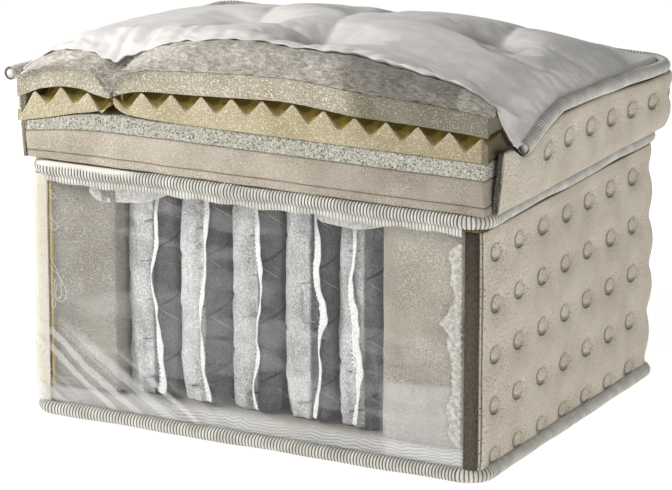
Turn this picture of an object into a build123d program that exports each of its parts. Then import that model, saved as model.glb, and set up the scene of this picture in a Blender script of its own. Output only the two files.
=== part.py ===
"""A cut-away display block of a pocket-sprung pillow-top mattress with a memory foam layer.

The block is a short, full-height piece of mattress. Its lower half is a pocket spring unit boxed in by
foam rails and a quilted border, with a clear window at the front. Its upper half is a stack of comfort
foams under a tufted knitted panel, cut away at the front so that every layer shows.
Millimetres. +X runs along the front, the window faces -Y, +Z is up, and the origin is the middle of
the underside.
"""

from build123d import *
import os

# Footprint and heights of the finished block
HALF_W, HALF_D = 225.0, 183.0  # outer faces of the lower border
CORNER_R = 20.0  # plan radius of the block's corners
BOTTOM_SEAM_Z = 7.0  # middle of the bottom edge tape
MIDDLE_SEAM_Z = 235.0  # middle of the tape between spring unit and pillow top
TOP_SEAM_Z = 307.0  # middle of the tape round the sleeping surface
FRONT_Y = -186.0  # plane in which the comfort layers are cut

# Ribbed edge tape, wrapped round a rolled seam
TAPE_R = 6.5
TAPE_BORE_R = 5.3
CORE_R = 5.2
TAPE_INSET = 0.5  # tape centre line, inside the border's outer face

# Lower border: ticking outside, foam lining inside
TICKING_T = 4.0
LINING_T = 5.0
WINDOW_HALF_W = 209.0  # half the width of the window between the border's returns
SEAM_GAP = 0.1  # between a fabric edge and the tape that binds it
LAYER_GAP = 0.3  # between soft pieces that lie beside each other
FILM_T = 0.5
FILM_Y = -181.2  # outer face of the window film

# Foam box round the springs
PANEL_T = 3.5
BASE_FOAM_TOP = 29.0
RAIL_W = 75.7  # left and back rail
RIGHT_RAIL_W = 87.7  # wider, as the springs stand left of the middle
BOX_CORNER_R = 10.0
RAIL_TOP = 228.0
BOX_HALF_W = HALF_W - TICKING_T - LINING_T - LAYER_GAP
BOX_BACK_Y = HALF_D - TICKING_T - LINING_T - LAYER_GAP
BOX_FRONT_Y = -178.5
BASE_FOAM_FRONT_Y = -175.6  # behind the bottom tape

# Pocket springs, in strings that run from front to back
STRINGS = 5
POCKETS_PER_STRING = 5
PITCH_X = 53.4
MIDDLE_STRING_X = -6.3
PITCH_Y = 54.0
POCKET_R = 26.5
POCKET_CLOTH_T = 0.6
POCKET_BOTTOM = 29.4
POCKET_TOP = 227.6
VENT_R = 2.0
FIRST_POCKET_Y = -145.4
FLANGE_W = 9.0  # welded tail left where each string was cut
FLANGE_T = 0.8
COIL_R = 23.6
WIRE_R = 0.95
COIL_TURNS = 6
COIL_END_GAP = 2.0  # from the coil's ends to the pocket's cloth

# Pillow top, from the springs upwards
SHEET_Z, SHEET_T = 228.6, 0.6
PAD_Z, PAD_TOP = 229.2, 241.6
BASE_PAD_TOP = 250.0
COMFORT_TOP = 274.0
MEMORY_TOP = 290.0
VALLEY_Z = 306.0
LAYER_HALF_W = 228.5
LAYER_BACK_Y = 187.5
PEAK_PITCH = 31.0
PEAK_ROWS, PEAK_COLUMNS = 10, 14
PEAK_FOOT_R, PEAK_TIP_R = 14.5, 2.5
PEAK_GAP = 0.8  # from a peak's tip to the foam above it

# Each dome is a list of (height, half width, back edge): the layers lean down to the sides and the back
PEAK_DOME = [(VALLEY_Z, 222.0, 181.0), (321.0, 150.0, 40.0)]
FOAM_DOME = [(VALLEY_Z, 226.0, 185.0), (343.0, 150.0, 20.0)]
FIBRE_DOME = [(VALLEY_Z, 228.5, 187.5), (332.0, 204.0, 132.0), (371.0, 90.0, -70.0)]
PANEL_DOME = [(VALLEY_Z, 231.0, 188.8), (334.0, 206.5, 134.5), (374.0, 92.0, -68.0)]
DOME_CORNER_R = 24.0
DOME_FRONT_Y = -340.0  # the domes are made longer than the block and then cut at the front
TOP_PANEL_FRONT_Y = -166.0  # the knitted panel's raw edge, behind the cut

# Upper border, sewn between the middle and top tapes, leaning outwards
UPPER_BORDER_BOTTOM, UPPER_BORDER_TOP = 241.8, 300.3
UPPER_LOW_HALF_W, UPPER_LOW_BACK_Y = 229.5, 188.5
UPPER_HIGH_HALF_W, UPPER_HIGH_BACK_Y = 233.5, 192.0
UPPER_LINING_T = 3.8
UPPER_TICKING_T = 4.0

# Top tape, an open run round the left, back and right sides
TOP_TAPE_HALF_W, TOP_TAPE_BACK_Y = 238.5, 196.0
TOP_TAPE_RIGHT_Y, TOP_TAPE_LEFT_Y = -138.0, -182.0

# Tufts, which pull the sleeping surface down in dimples
TUFTS = [(-138.0, -168.0), (-62.0, -72.0), (36.0, -122.0), (148.0, 0.0), (-92.0, 88.0), (4.0, 38.0)]
TUFT_CORD_R = 1.2
TUFT_HOLE_R = 1.5
DIMPLE_TOP_R, DIMPLE_FOOT_R, DIMPLE_DEPTH = 24.0, 4.0, 24.0
DIMPLE_SHARE = 0.6  # how far a dimple goes down through the fibre

pieces = []


def lean_height(levels, x, y):
    """Height of a dome's surface over one point."""
    for (low_z, low_w, low_y), (high_z, high_w, high_y) in zip(levels, levels[1:]):
        share = min((low_w - abs(x)) / (low_w - high_w), (low_y - y) / (low_y - high_y))
        if share < 1:
            return low_z + share * (high_z - low_z)
    return levels[-1][0]


def tuft_floor(x, y):
    """Height of a dimple's floor, part of the way from the fibre's surface down to the quilting foam."""
    fibre_z = lean_height(FIBRE_DOME, x, y)
    return fibre_z - DIMPLE_SHARE * (fibre_z - lean_height(FOAM_DOME, x, y))


def dome(levels, tufted=True, grow=0.0):
    """The space between the seam and one leaning layer's upper surface, as a solid."""
    with BuildPart(mode=Mode.PRIVATE) as shape:
        for height, half_w, back_y in levels:
            with BuildSketch(Plane.XY.offset(height)):
                with Locations((0, (back_y + DOME_FRONT_Y) / 2)):
                    RectangleRounded(2 * half_w, back_y - DOME_FRONT_Y, DOME_CORNER_R)
        loft(ruled=True)
        split(bisect_by=Plane.XZ.offset(-FRONT_Y), keep=Keep.BOTTOM)
        if tufted:
            with Locations(*[(x, y, tuft_floor(x, y) + grow) for x, y in TUFTS]):
                Cone(
                    DIMPLE_FOOT_R, DIMPLE_TOP_R, DIMPLE_DEPTH,
                    align=(Align.CENTER, Align.CENTER, Align.MIN), mode=Mode.SUBTRACT,
                )
    return shape.part


def foam_slab(bottom, top):
    """A flat foam sheet of the pillow top, square at the cut and round at the back corners."""
    with BuildPart(mode=Mode.PRIVATE) as shape:
        with BuildSketch(Plane.XY.offset(bottom)):
            with Locations((0, (FRONT_Y + LAYER_BACK_Y) / 2)):
                Rectangle(2 * LAYER_HALF_W, LAYER_BACK_Y - FRONT_Y)
        extrude(amount=top - bottom)
        fillet(shape.edges().filter_by(Axis.Z).group_by(Axis.Y)[-1], radius=CORNER_R)
    return shape.part


def tuft_holes(bottom, top):
    """Round holes for the tuft cords, cut in the part that is being built."""
    for x, y in TUFTS:
        with Locations((x, y, bottom)):
            Cylinder(
                TUFT_HOLE_R, top - bottom,
                align=(Align.CENTER, Align.CENTER, Align.MIN), mode=Mode.SUBTRACT,
            )


def closed_ring(height, section_r, bore_r=0.0):
    """A tape or core right round the block at one seam, made as a half and its mirror image."""
    half_w, half_d = HALF_W - TAPE_INSET, HALF_D - TAPE_INSET
    with BuildPart(mode=Mode.PRIVATE) as ring:
        with BuildLine(Plane.XY.offset(height)) as route:
            FilletPolyline((0, -half_d), (half_w, -half_d), (half_w, half_d), (0, half_d), radius=CORNER_R)
        with BuildSketch(Plane(origin=(0, -half_d, height), z_dir=(1, 0, 0))):
            Circle(section_r)
            if bore_r:
                Circle(bore_r, mode=Mode.SUBTRACT)
        sweep(path=route.wires()[0])
        mirror(about=Plane.YZ)
    return ring.part


def open_run(section_r, bore_r=0.0):
    """The top tape or its core, open at the front."""
    start = (TOP_TAPE_HALF_W, TOP_TAPE_RIGHT_Y)
    with BuildPart(mode=Mode.PRIVATE) as run:
        with BuildLine(Plane.XY.offset(TOP_SEAM_Z)) as route:
            FilletPolyline(
                start, (TOP_TAPE_HALF_W, TOP_TAPE_BACK_Y), (-TOP_TAPE_HALF_W, TOP_TAPE_BACK_Y),
                (-TOP_TAPE_HALF_W, TOP_TAPE_LEFT_Y), radius=CORNER_R + TAPE_R,
            )
        with BuildSketch(Plane(origin=(*start, TOP_SEAM_Z), z_dir=(0, 1, 0))):
            Circle(section_r)
            if bore_r:
                Circle(bore_r, mode=Mode.SUBTRACT)
        sweep(path=route.wires()[0])
    return run.part


def keep(part, name):
    """Labels a finished piece and puts it on the list to be written."""
    part.label = name
    pieces.append(part)


# Underside cloth
with BuildPart() as bottom_panel:
    with BuildSketch():
        RectangleRounded(2 * (HALF_W - 7.5), 2 * (HALF_D - 7.5), CORNER_R - 6)
    extrude(amount=PANEL_T)
keep(bottom_panel.part, "bottom_panel")

# Edge tapes that run all the way round, each over the seam it binds
for seam, seam_z in (("bottom", BOTTOM_SEAM_Z), ("middle", MIDDLE_SEAM_Z)):
    keep(closed_ring(seam_z, TAPE_R, TAPE_BORE_R), f"{seam}_tape")
    keep(closed_ring(seam_z, CORE_R), f"{seam}_seam_core")
keep(open_run(TAPE_R, TAPE_BORE_R), "top_tape")
keep(open_run(CORE_R), "top_seam_core")

# Foam sheet under the springs
with BuildPart() as base_foam:
    with BuildSketch(Plane.XY.offset(PANEL_T)):
        with Locations((0, (BASE_FOAM_FRONT_Y + BOX_BACK_Y) / 2)):
            RectangleRounded(2 * BOX_HALF_W, BOX_BACK_Y - BASE_FOAM_FRONT_Y, BOX_CORNER_R)
    extrude(amount=BASE_FOAM_TOP - PANEL_T)
keep(base_foam.part, "base_foam")

# Foam rails: one at each side and one across the back
rail_h = RAIL_TOP - BASE_FOAM_TOP
side_rail_back_y = BOX_BACK_Y - RAIL_W
for side, sign, rail_w in (("left", -1, RAIL_W), ("right", 1, RIGHT_RAIL_W)):
    with BuildPart() as side_rail:
        with BuildSketch(Plane.XY.offset(BASE_FOAM_TOP)):
            with Locations((sign * (BOX_HALF_W - rail_w / 2), (BOX_FRONT_Y + side_rail_back_y) / 2)):
                Rectangle(rail_w, side_rail_back_y - BOX_FRONT_Y)
        extrude(amount=rail_h)
        outer_corner = side_rail.edges().filter_by(Axis.Z).sort_by(Axis.Y)[:2].sort_by(Axis.X)
        fillet(outer_corner[0 if sign < 0 else -1], radius=BOX_CORNER_R)
    keep(side_rail.part, f"rail_{side}")

with BuildPart() as rail_back:
    with BuildSketch(Plane.XY.offset(BASE_FOAM_TOP)):
        with Locations((0, BOX_BACK_Y - RAIL_W / 2)):
            Rectangle(2 * BOX_HALF_W, RAIL_W)
    extrude(amount=rail_h)
    fillet(rail_back.edges().filter_by(Axis.Z).group_by(Axis.Y)[-1], radius=BOX_CORNER_R)
keep(rail_back.part, "rail_back")

# One coil spring, standing on the origin, copied into every pocket
coil_h = POCKET_TOP - POCKET_BOTTOM - 2 * (POCKET_CLOTH_T + COIL_END_GAP)
with BuildPart() as coil:
    with BuildLine() as turns:
        Helix(pitch=coil_h / COIL_TURNS, height=coil_h, radius=COIL_R)
    with BuildSketch(Plane(origin=turns.edges()[0] @ 0, z_dir=turns.edges()[0] % 0)):
        Circle(WIRE_R)
    sweep(path=turns.edges()[0], is_frenet=True)

# Strings of pockets: cloth tubes welded together front to back, with the cut string's tail at the front
pocket_h = POCKET_TOP - POCKET_BOTTOM
for string in range(STRINGS):
    string_x = MIDDLE_STRING_X + (string - (STRINGS - 1) / 2) * PITCH_X
    pocket_spots = [(string_x, FIRST_POCKET_Y + n * PITCH_Y) for n in range(POCKETS_PER_STRING)]
    with BuildPart() as pocket_string:
        with BuildSketch(Plane.XY.offset(POCKET_BOTTOM)):
            with Locations(*pocket_spots):
                Circle(POCKET_R)
            with Locations(*[(x, y + PITCH_Y / 2) for x, y in pocket_spots[:-1]]):
                Rectangle(FLANGE_T, 2 * (PITCH_Y / 2 - POCKET_R) + POCKET_CLOTH_T)
            with Locations((string_x + FLANGE_W / 2, FIRST_POCKET_Y - POCKET_R)):
                Rectangle(FLANGE_W, FLANGE_T)
        extrude(amount=pocket_h)
        with Locations(*[(x, y, POCKET_BOTTOM + POCKET_CLOTH_T) for x, y in pocket_spots]):
            Cylinder(
                POCKET_R - POCKET_CLOTH_T, pocket_h - 2 * POCKET_CLOTH_T,
                align=(Align.CENTER, Align.CENTER, Align.MIN), mode=Mode.SUBTRACT,
            )
        with Locations(*[(x, y, POCKET_TOP - 2 * POCKET_CLOTH_T) for x, y in pocket_spots]):
            Cylinder(
                VENT_R, 3 * POCKET_CLOTH_T,
                align=(Align.CENTER, Align.CENTER, Align.MIN), mode=Mode.SUBTRACT,
            )
    keep(pocket_string.part, f"pocket_string_{string + 1}")

    coil_z = POCKET_BOTTOM + POCKET_CLOTH_T + COIL_END_GAP
    with BuildPart() as coil_string:
        for x, y in pocket_spots:
            add(coil.part.moved(Location((x, y, coil_z))))
    keep(coil_string.part, f"coil_string_{string + 1}")

# Lower border, open at the front between its two returns
border_bottom = BOTTOM_SEAM_Z + TAPE_R + SEAM_GAP
border_top = MIDDLE_SEAM_Z - TAPE_R - SEAM_GAP
with BuildPart() as lower_border:
    with BuildSketch(Plane.XY.offset(border_bottom)):
        RectangleRounded(2 * HALF_W, 2 * HALF_D, CORNER_R - 2)
        RectangleRounded(
            2 * (HALF_W - TICKING_T), 2 * (HALF_D - TICKING_T), CORNER_R - 6, mode=Mode.SUBTRACT,
        )
        with Locations((0, -HALF_D)):
            Rectangle(2 * WINDOW_HALF_W, 4 * TICKING_T, mode=Mode.SUBTRACT)
    extrude(amount=border_top - border_bottom)
keep(lower_border.part, "lower_border")

with BuildPart() as lower_border_foam:
    with BuildSketch(Plane.XY.offset(border_bottom)):
        RectangleRounded(2 * (HALF_W - TICKING_T), 2 * (HALF_D - TICKING_T), CORNER_R - 6)
        RectangleRounded(
            2 * (HALF_W - TICKING_T - LINING_T), 2 * (HALF_D - TICKING_T - LINING_T),
            CORNER_R - 11, mode=Mode.SUBTRACT,
        )
        with Locations((0, -HALF_D)):
            Rectangle(2 * HALF_W, 2 * (HALF_D + BOX_FRONT_Y) + 2 * CORNER_R, mode=Mode.SUBTRACT)
    extrude(amount=border_top - border_bottom)
keep(lower_border_foam.part, "lower_border_foam")

# Clear window film
with BuildPart() as window_film:
    with BuildSketch(Plane.XY.offset(border_bottom)):
        with Locations((0, FILM_Y + FILM_T / 2)):
            Rectangle(2 * (WINDOW_HALF_W - LAYER_GAP), FILM_T)
    extrude(amount=border_top - border_bottom)
keep(window_film.part, "window_film")

# Cloth over the springs and the felt pad on it, both inside the middle tape
inner_half_w = HALF_W - TAPE_INSET - TAPE_R - LAYER_GAP
inner_half_d = HALF_D - TAPE_INSET - TAPE_R - LAYER_GAP
for name, bottom, thickness in (
    ("spring_cover_sheet", SHEET_Z, SHEET_T),
    ("insulator_pad", PAD_Z, PAD_TOP - PAD_Z),
):
    with BuildPart() as flat_piece:
        with BuildSketch(Plane.XY.offset(bottom)):
            RectangleRounded(2 * inner_half_w, 2 * inner_half_d, CORNER_R - 7)
        extrude(amount=thickness)
    keep(flat_piece.part, name)

# Flat foams of the pillow top
for name, bottom, top in (
    ("pillow_base_foam", PAD_TOP + LAYER_GAP, BASE_PAD_TOP),
    ("comfort_foam", BASE_PAD_TOP, COMFORT_TOP),
    ("memory_foam", COMFORT_TOP, MEMORY_TOP),
):
    flat_foam = foam_slab(bottom, top)
    with BuildPart() as foam_sheet:
        add(flat_foam)
        tuft_holes(bottom - 1, top + 1)
    keep(foam_sheet.part, name)

# Egg-crate foam: a sheet with round peaks that stay under the leaning foam above them
egg_crate_sheet = foam_slab(MEMORY_TOP, VALLEY_Z)
with BuildPart() as convoluted_foam:
    add(egg_crate_sheet)
    for row in range(PEAK_ROWS):
        for column in range(PEAK_COLUMNS):
            peak_x = (column - (PEAK_COLUMNS - 1) / 2) * PEAK_PITCH
            peak_y = FRONT_Y + (row + 0.5) * PEAK_PITCH
            peak_top = lean_height(PEAK_DOME, abs(peak_x) + PEAK_TIP_R, peak_y + PEAK_TIP_R) - PEAK_GAP
            with Locations((peak_x, peak_y, VALLEY_Z)):
                Cone(
                    PEAK_FOOT_R, PEAK_TIP_R, peak_top - VALLEY_Z,
                    align=(Align.CENTER, Align.CENTER, Align.MIN),
                )
    tuft_holes(MEMORY_TOP - 1, PEAK_DOME[-1][0] + 1)
keep(convoluted_foam.part, "convoluted_foam")

# Flat quilting foam that lies on the peaks
peak_space, foam_space = dome(PEAK_DOME, tufted=False), dome(FOAM_DOME, tufted=False)
with BuildPart() as quilt_foam:
    add(foam_space)
    add(peak_space, mode=Mode.SUBTRACT)
    tuft_holes(MEMORY_TOP - 1, FOAM_DOME[-1][0] + 1)
keep(quilt_foam.part, "quilt_foam")

# Loose fibre under the knitted panel, with the tufts' dimples
fibre_space, panel_space = dome(FIBRE_DOME), dome(PANEL_DOME, grow=PANEL_DOME[-1][0] - FIBRE_DOME[-1][0])
with BuildPart() as fibre_wadding:
    add(fibre_space)
    add(foam_space, mode=Mode.SUBTRACT)
    tuft_holes(MEMORY_TOP - 1, PANEL_DOME[-1][0] + 1)
keep(fibre_wadding.part, "fibre_wadding")

# Knitted top panel, which stops short of the cut
with BuildPart() as top_panel:
    add(panel_space)
    add(fibre_space, mode=Mode.SUBTRACT)
    split(bisect_by=Plane.XZ.offset(-TOP_PANEL_FRONT_Y), keep=Keep.BOTTOM)
    tuft_holes(MEMORY_TOP - 1, PANEL_DOME[-1][0] + 1)
keep(top_panel.part, "top_panel")

# Upper border: ticking outside and foam lining inside, both leaning out to the top tape
for name, inset, thickness in (
    ("upper_border_foam", 0.0, UPPER_LINING_T),
    ("upper_border", UPPER_LINING_T, UPPER_TICKING_T),
):
    with BuildPart() as border_layer:
        for grow, mode in ((inset + thickness, Mode.ADD), (inset, Mode.SUBTRACT)):
            for height, half_w, back_y in (
                (UPPER_BORDER_BOTTOM, UPPER_LOW_HALF_W, UPPER_LOW_BACK_Y),
                (UPPER_BORDER_TOP, UPPER_HIGH_HALF_W, UPPER_HIGH_BACK_Y),
            ):
                with BuildSketch(Plane.XY.offset(height)):
                    with Locations((0, (back_y + DOME_FRONT_Y) / 2)):
                        RectangleRounded(2 * (half_w + grow), back_y - DOME_FRONT_Y + 2 * grow, CORNER_R)
            loft(ruled=True, mode=mode)
        split(bisect_by=Plane.XZ.offset(-FRONT_Y), keep=Keep.BOTTOM)
    keep(border_layer.part, name)

# Tuft cords from the pillow top's lowest foam to the floors of the dimples
with BuildPart() as tuft_cords:
    for x, y in TUFTS:
        with Locations((x, y, PAD_TOP + LAYER_GAP)):
            Cylinder(
                TUFT_CORD_R, tuft_floor(x, y) - PAD_TOP - LAYER_GAP,
                align=(Align.CENTER, Align.CENTER, Align.MIN),
            )
keep(tuft_cords.part, "tuft_cords")

os.makedirs("parts", exist_ok=True)
for piece in pieces:
    export_step(piece, f"parts/{piece.label}.step")
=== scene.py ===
"""Looks of a cut-away pocket-sprung pillow-top mattress block with memory foam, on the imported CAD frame.

The sections follow the block as it is put together: underside, foam box, springs, border and window,
then the pillow top from its lowest foam to the knitted surface. Everything is in metres.
"""

import math

import bpy
import numpy as np
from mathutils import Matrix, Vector, noise


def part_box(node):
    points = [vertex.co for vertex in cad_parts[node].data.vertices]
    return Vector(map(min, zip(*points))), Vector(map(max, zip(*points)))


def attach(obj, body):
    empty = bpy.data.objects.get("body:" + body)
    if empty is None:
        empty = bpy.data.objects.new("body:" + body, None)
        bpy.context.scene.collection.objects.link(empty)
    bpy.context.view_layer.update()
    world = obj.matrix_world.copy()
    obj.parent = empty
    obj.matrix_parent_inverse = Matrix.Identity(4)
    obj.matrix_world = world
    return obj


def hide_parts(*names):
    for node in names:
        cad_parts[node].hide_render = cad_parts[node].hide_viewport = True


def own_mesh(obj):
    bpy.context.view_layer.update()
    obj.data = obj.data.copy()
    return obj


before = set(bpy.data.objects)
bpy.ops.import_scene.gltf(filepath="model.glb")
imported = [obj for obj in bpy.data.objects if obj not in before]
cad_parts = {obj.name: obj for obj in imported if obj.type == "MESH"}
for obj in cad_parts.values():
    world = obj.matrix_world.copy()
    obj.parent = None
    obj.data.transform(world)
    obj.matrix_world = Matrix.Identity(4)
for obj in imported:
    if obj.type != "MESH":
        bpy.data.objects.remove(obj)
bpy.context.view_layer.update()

# ---------------------------------------------------------------------------------------------------
# Camera, floor and light. A long lens looks at the window corner from slightly above, as in a product
# picture, with one big soft light above on the left and weak fills.
# ---------------------------------------------------------------------------------------------------
AZIMUTH, ELEVATION = math.radians(27.8), math.radians(15.6)
LENS, DISTANCE = 216, 3.748
right = Vector((math.cos(AZIMUTH), math.sin(AZIMUTH), 0))
ahead = Vector((-math.sin(AZIMUTH), math.cos(AZIMUTH), 0))
up = ahead * math.sin(ELEVATION) + Vector((0, 0, math.cos(ELEVATION)))
look = ahead * math.cos(ELEVATION) - Vector((0, 0, math.sin(ELEVATION)))
aim = right * -0.0102 + up * 0.1308 + Vector((0, 0, 0.007))

camera_data = bpy.data.cameras.new("camera")
camera_data.lens = LENS
camera = bpy.data.objects.new("camera", camera_data)
bpy.context.collection.objects.link(camera)
camera.location = aim - look * DISTANCE
camera.rotation_euler = look.to_track_quat("-Z", "Y").to_euler()
bpy.context.scene.camera = camera
bpy.context.scene.view_settings.view_transform = "Standard"

bpy.ops.mesh.primitive_plane_add(size=12)
floor = bpy.context.object
floor.name = "floor"
floor_paint = bpy.data.materials.new("floor_paint")
floor_paint.use_nodes = True
paint = floor_paint.node_tree.nodes["Principled BSDF"].inputs
paint["Base Color"].default_value = (0.93, 0.93, 0.925, 1)
paint["Roughness"].default_value = 0.9
paint["Emission Color"].default_value = (1, 1, 1, 1)
paint["Emission Strength"].default_value = 0.70
floor.data.materials.append(floor_paint)

for name, place, size, power in (
    ("key_light", (-1.20, -0.75, 1.10), 0.45, 27),
    ("front_fill", (0.2, -2.6, 0.7), 1.4, 3),
    ("side_fill", (1.9, -1.5, 0.7), 0.9, 11),
):
    lamp_data = bpy.data.lights.new(name, "AREA")
    lamp_data.size, lamp_data.energy = size, power
    lamp = bpy.data.objects.new(name, lamp_data)
    bpy.context.collection.objects.link(lamp)
    lamp.location = place
    lamp.rotation_euler = (Vector((0, 0, 0.2)) - lamp.location).to_track_quat("-Z", "Y").to_euler()
sky = bpy.data.worlds.new("sky")
sky.use_nodes = True
sky.node_tree.nodes["Background"].inputs["Color"].default_value = (1, 1, 1, 1)
sky.node_tree.nodes["Background"].inputs["Strength"].default_value = 0.27
bpy.context.scene.world = sky


# ---------------------------------------------------------------------------------------------------
# Underside cloth: a sheet of grey needled felt, sewn into the bottom edge tape.
# ---------------------------------------------------------------------------------------------------
class Shade:
    """A value on its way through one material's nodes: arithmetic on it adds Math nodes."""

    def __init__(self, tree, socket=None):
        self.tree, self.socket = tree, socket

    def feed(self, socket, value):
        """Links a value to a socket, or sets the socket to a plain number or colour."""
        if isinstance(value, Shade):
            self.tree.links.new(value.socket, socket)
        else:
            socket.default_value = value

    def node(self, kind, out=0, settings=None, inputs=None):
        """Any other node: its settings first, then its sockets."""
        made = self.tree.nodes.new("ShaderNode" + kind)
        for key, value in (settings or {}).items():
            setattr(made, key, value)
        for key, value in (inputs or {}).items():
            self.feed(made.inputs[key], value)
        return Shade(self.tree, made.outputs[out])

    def maths(self, operation, first, second=0.0):
        return self.node("Math", settings={"operation": operation}, inputs={0: first, 1: second})

    def __add__(self, other):
        return self.maths("ADD", self, other)

    def __radd__(self, other):
        return self.maths("ADD", other, self)

    def __sub__(self, other):
        return self.maths("SUBTRACT", self, other)

    def __rsub__(self, other):
        return self.maths("SUBTRACT", other, self)

    def __mul__(self, other):
        return self.maths("MULTIPLY", self, other)

    def __rmul__(self, other):
        return self.maths("MULTIPLY", other, self)

    def __truediv__(self, other):
        return self.maths("DIVIDE", self, other)

    def parts(self, vector):
        """The x, y and z of a vector."""
        split = self.node("SeparateXYZ", inputs={"Vector": vector}).socket.node
        return [Shade(self.tree, output) for output in split.outputs]

    def place(self):
        """The spot on the object, in metres."""
        return self.node("TexCoord", out="Object")

    def ramp(self, low, high):
        """0 below low, 1 above high, and smooth between."""
        return self.node("MapRange", settings={"interpolation_type": "SMOOTHSTEP"},
                         inputs={"Value": self, "From Min": low, "From Max": high})

    def mix(self, first, second):
        """A colour between two, with this value as the share of the second."""
        return self.node("Mix", out=2, settings={"data_type": "RGBA"}, inputs={0: self, 6: first, 7: second})

    def grain(self, place, size, detail=2.0, stretch=None):
        """Noise whose lumps are about size metres across, from 0 to 1."""
        if stretch:
            place = self.node("Mapping", inputs={"Vector": place, "Scale": stretch})
        return self.node("TexNoise", inputs={"Vector": place, "Scale": 1 / size, "Detail": detail})

    def cells(self, place, size, out="Distance", dimensions="3D"):
        """Cells about size metres across."""
        return self.node("TexVoronoi", out=out, settings={"voronoi_dimensions": dimensions},
                         inputs={"Vector": place, "Scale": 1 / size})

    def bump(self, height, depth):
        """Surface relief: height from 0 to 1 stands for depth metres."""
        return self.node("Bump", inputs={"Height": height, "Strength": 1.0, "Distance": depth})


def tone(red, green, blue):
    """A colour as a painter's card gives it, 0 to 255, for a shader."""
    return (*[(part / 255) ** 2.2 for part in (red, green, blue)], 1.0)


def new_finish(name, roughness=0.9, sheen=0.0, specular=0.3):
    """A material, a Shade to start its nodes from, and its Principled shader's sockets."""
    material = bpy.data.materials.new(name)
    material.use_nodes = True
    sockets = material.node_tree.nodes["Principled BSDF"].inputs
    sockets["Roughness"].default_value = roughness
    sockets["Sheen Weight"].default_value = sheen
    sockets["Specular IOR Level"].default_value = specular
    return material, Shade(material.node_tree), sockets


def felt_finish():
    """Needled felt: matted grey fibres with lighter and darker flecks."""
    material, start, sockets = new_finish("needled_felt", 1.0, 0.1, 0.1)
    place = start.place()
    fibres = start.grain(place, 0.0012, 4.0, (1.0, 3.0, 3.0))
    flecks = start.grain(place, 0.006, 3.0)
    share = (fibres * 0.6 + flecks * 0.4).ramp(0.35, 0.65)
    start.feed(sockets["Base Color"], share.mix(tone(118, 114, 108), tone(176, 172, 164)))
    start.feed(sockets["Normal"], start.bump(fibres, 0.0012))
    return material


def select_only(piece):
    bpy.ops.object.select_all(action="DESELECT")
    piece.select_set(True)
    bpy.context.view_layer.objects.active = piece


def settle(piece):
    """Puts a finished piece's place into its mesh, so that its object stands at the origin."""
    select_only(piece)
    bpy.ops.object.transform_apply(location=True, rotation=True, scale=True)


def apply_modifiers(piece):
    select_only(piece)
    for modifier in list(piece.modifiers):
        bpy.ops.object.modifier_apply(modifier=modifier.name)


def fit(piece, body, node):
    """Puts a finished piece on its body, in the place of a plain one."""
    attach(piece, body)
    if node:
        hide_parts(node)


def sculpt(piece, move):
    """Moves every vertex: move takes arrays x, y, z and gives new ones."""
    mesh = piece.data
    flat = np.empty(len(mesh.vertices) * 3)
    mesh.vertices.foreach_get("co", flat)
    x, y, z = flat.reshape(-1, 3).T
    mesh.vertices.foreach_set("co", np.stack(move(x, y, z), axis=-1).ravel())
    mesh.update()


def lumps(x, y, z, size, seed=0.0):
    """Smooth noise from about -1 to 1, with lumps about size metres across."""
    found = np.empty(len(x))
    for n, (a, b, c) in enumerate(zip(x / size + seed, y / size, z / size)):
        found[n] = noise.noise((a, b, c))
    return found


SAWN_ROUGH = 0.0006


def foam_block(name, low, high, material, edge, cuts, rough=SAWN_ROUGH):
    """A block of sawn foam: a bevelled cube, cut into a grid, with slightly uneven faces."""
    low, high = Vector(low), Vector(high)
    bpy.ops.object.select_all(action="DESELECT")
    bpy.ops.mesh.primitive_cube_add(size=1, location=(low + high) / 2)
    block = bpy.context.object
    block.name = name
    block.scale = high - low
    settle(block)
    bevel = block.modifiers.new("worn_edges", "BEVEL")
    bevel.width, bevel.segments = edge, 3
    apply_modifiers(block)
    bpy.ops.object.mode_set(mode="EDIT")
    bpy.ops.mesh.select_all(action="SELECT")
    bpy.ops.mesh.subdivide(number_cuts=cuts)
    bpy.ops.object.mode_set(mode="OBJECT")
    wave = lambda x, y, z: rough * lumps(x, y, z, 0.03)
    sculpt(block, lambda x, y, z: (x + wave(x, y, z), y + wave(y, z, x), z + wave(z, x, y)))
    bpy.ops.object.shade_smooth_by_angle(angle=math.radians(50))
    block.data.materials.append(material)
    return block


felt = felt_finish()
underside = foam_block("underside_cloth", *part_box("bottom_panel"), felt, edge=0.001, cuts=8, rough=0.0)
fit(underside, "base", "bottom_panel")


# ---------------------------------------------------------------------------------------------------
# Bottom edge tape: ribbed off-white tape, folded over the rolled seam and sewn through. Its thick
# ribs lie side by side all the way round, with one lapped joint at the front.
# ---------------------------------------------------------------------------------------------------
RIB_PITCH = 0.0032
RIB_DEPTH = 0.0010
SEAM_RADIUS = 0.0066
CORNER, BACK_CORNER = 0.020, 0.012


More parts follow.
